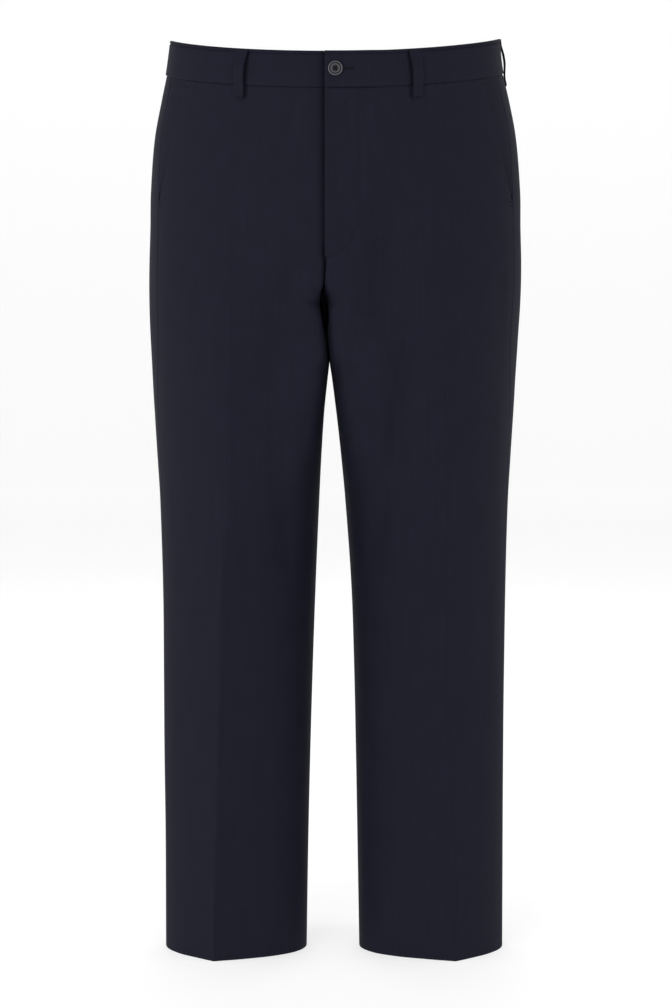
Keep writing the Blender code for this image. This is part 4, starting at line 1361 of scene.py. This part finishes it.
def backdrop():
    """A round pale floor that curves up into a wall, far enough out for a view from any side."""
    path = [(0.05, HEM_Z), (2.0, HEM_Z), (FLOOR_RADIUS, HEM_Z)]
    for k in range(1, 17):
        angle = k / 16 * math.pi / 2
        path.append((FLOOR_RADIUS + WALL_CURVE * math.sin(angle),
                     HEM_Z + WALL_CURVE - WALL_CURVE * math.cos(angle)))
    path.append((FLOOR_RADIUS + WALL_CURVE, WALL_TOP))
    points, faces = tube(np.array([level_ring(radius, z, 96) for radius, z in path]), True)
    mesh = bpy.data.meshes.new("pale_floor")
    mesh.from_pydata([tuple(p) for p in points], [], faces[:-1])
    mesh.shade_smooth()
    mesh.materials.append(finish_named("pale_floor", lambda tree, looks: {
        "Base Color": opaque(FLOOR_COLOUR),
        "Emission Color": opaque((1.0, 1.0, 1.0)),
        "Emission Strength": FLOOR_GLOW,
        "Roughness": 0.9,
        "Specular IOR Level": 0.1,
    }))
    floor = bpy.data.objects.new("pale_floor", mesh)
    bpy.context.scene.collection.objects.link(floor)


def surround(strength):
    """Even white light from all round."""
    sky = bpy.data.worlds.new("studio")
    sky.use_nodes = True
    background = sky.node_tree.nodes["Background"]
    background.inputs["Color"].default_value = (1.0, 1.0, 1.0, 1.0)
    background.inputs["Strength"].default_value = strength
    bpy.context.scene.world = sky


def soft_light(name, location, aim_z, size, power):
    """A large soft lamp that points at a height on the piece's middle line."""
    data = bpy.data.lights.new(name, "AREA")
    data.shape = "DISK"
    data.size = size
    data.energy = power
    lamp = bpy.data.objects.new(name, data)
    lamp.location = location
    aim = Vector((0.0, 0.0, aim_z)) - Vector(location)
    lamp.rotation_euler = aim.to_track_quat("-Z", "Y").to_euler()
    lamp.visible_camera = False
    bpy.context.scene.collection.objects.link(lamp)


# Settings ----------------------------------------------------------------------------


def metres(name, description, default, low, high):
    """A length in metres that a user would change."""
    return FloatProperty(name=name, description=description, default=default, min=low, max=high,
                         subtype="DISTANCE", unit="LENGTH")


def tint(name, description, default):
    """A colour that a user would change."""
    return FloatVectorProperty(name=name, description=description, default=default, size=3,
                               subtype="COLOR", min=0, max=1)


def watts(name, description, default):
    """A light's power in watts that a user would change."""
    return FloatProperty(name=name, description=description, default=default, min=0.0, max=500.0,
                         subtype="POWER", unit="POWER")


class TrouserSizes(bpy.types.PropertyGroup):
    """The sizes that a maker would change"""
    cloth: metres("Cloth", "Thickness of one layer of suiting", 0.0008, 0.0004, 0.0014)
    hem_turn_up: metres("Hem turn-up", "How far the hem is turned up inside", 0.040, 0.01, 0.08)
    loop_width: metres("Belt loop width", "Width of a finished belt loop", 0.0115, 0.008, 0.02)
    button: metres("Button", "Diameter of the waist button", 0.016, 0.012, 0.02)
    button_holes: metres("Button holes", "How far each hole lies from the middle",
                         0.0017, 0.001, 0.003)
    buttonhole: metres("Buttonhole", "Length of the buttonhole", 0.0215, 0.01, 0.03)
    stitch: metres("Stitch", "Length of one stitch", 0.0026, 0.001, 0.005)


class TrouserLooks(bpy.types.PropertyGroup):
    """The colours and lights that a user would change"""
    cloth_light: tint("Cloth, raised yarns", "Colour of the raised yarns", (0.0108, 0.0111, 0.0208))
    cloth_deep: tint("Cloth, sunk yarns", "Colour between the yarns", (0.0057, 0.0059, 0.0117))
    thread: tint("Thread", "Colour of the sewing thread", (0.0085, 0.0088, 0.0150))
    button: tint("Button", "Colour of the button", (0.068, 0.068, 0.077))
    surround: FloatProperty(name="Surround", description="Strength of the white light all round",
                            default=0.46, min=0.0, max=4.0)
    key_power: watts("Key light", "Power of the light on the left", 50.0)
    fill_power: watts("Fill light", "Power of the light on the right", 15.7)
    back_power: watts("Back light", "Power of the light behind", 30.0)
    edge_power: watts("Edge lights", "Power of the lights at the sides", 18.0)


OPERATORS = (
    TROUSERS_OT_fronts,
    TROUSERS_OT_backs,
    TROUSERS_OT_pocket_facings,
    TROUSERS_OT_fly,
    TROUSERS_OT_waistband,
    TROUSERS_OT_belt_loops,
    TROUSERS_OT_button,
    TROUSERS_OT_stitching,
    TROUSERS_OT_stage,
)


class TROUSERS_PT_panel(bpy.types.Panel):
    """Lists the pieces of the trousers"""
    bl_idname = "TROUSERS_PT_panel"
    bl_label = "Dress trousers"
    bl_space_type = "VIEW_3D"
    bl_region_type = "UI"
    bl_category = "Trousers"

    def draw(self, context):
        for group in (context.scene.trouser_sizes, context.scene.trouser_looks):
            for name in group.__annotations__:
                self.layout.prop(group, name)
        for operator in OPERATORS:
            self.layout.operator(operator.bl_idname)


CLASSES = (TrouserSizes, TrouserLooks, *OPERATORS, TROUSERS_PT_panel)


def register():
    """Register the settings, the operators and the panel."""
    for each in CLASSES:
        bpy.utils.register_class(each)
    bpy.types.Scene.trouser_sizes = PointerProperty(type=TrouserSizes)
    bpy.types.Scene.trouser_looks = PointerProperty(type=TrouserLooks)


def unregister():
    """Take the settings, the operators and the panel away again."""
    del bpy.types.Scene.trouser_looks
    del bpy.types.Scene.trouser_sizes
    for each in reversed(CLASSES):
        bpy.utils.unregister_class(each)


def main():
    """Make the trousers and their stage."""
    register()
    bpy.ops.trousers.fronts()
    bpy.ops.trousers.backs()
    bpy.ops.trousers.pocket_facings()
    bpy.ops.trousers.fly()
    bpy.ops.trousers.waistband()
    bpy.ops.trousers.belt_loops()
    bpy.ops.trousers.button()
    bpy.ops.trousers.stitching()
    bpy.ops.trousers.stage()


if __name__ == "__main__":
    main()
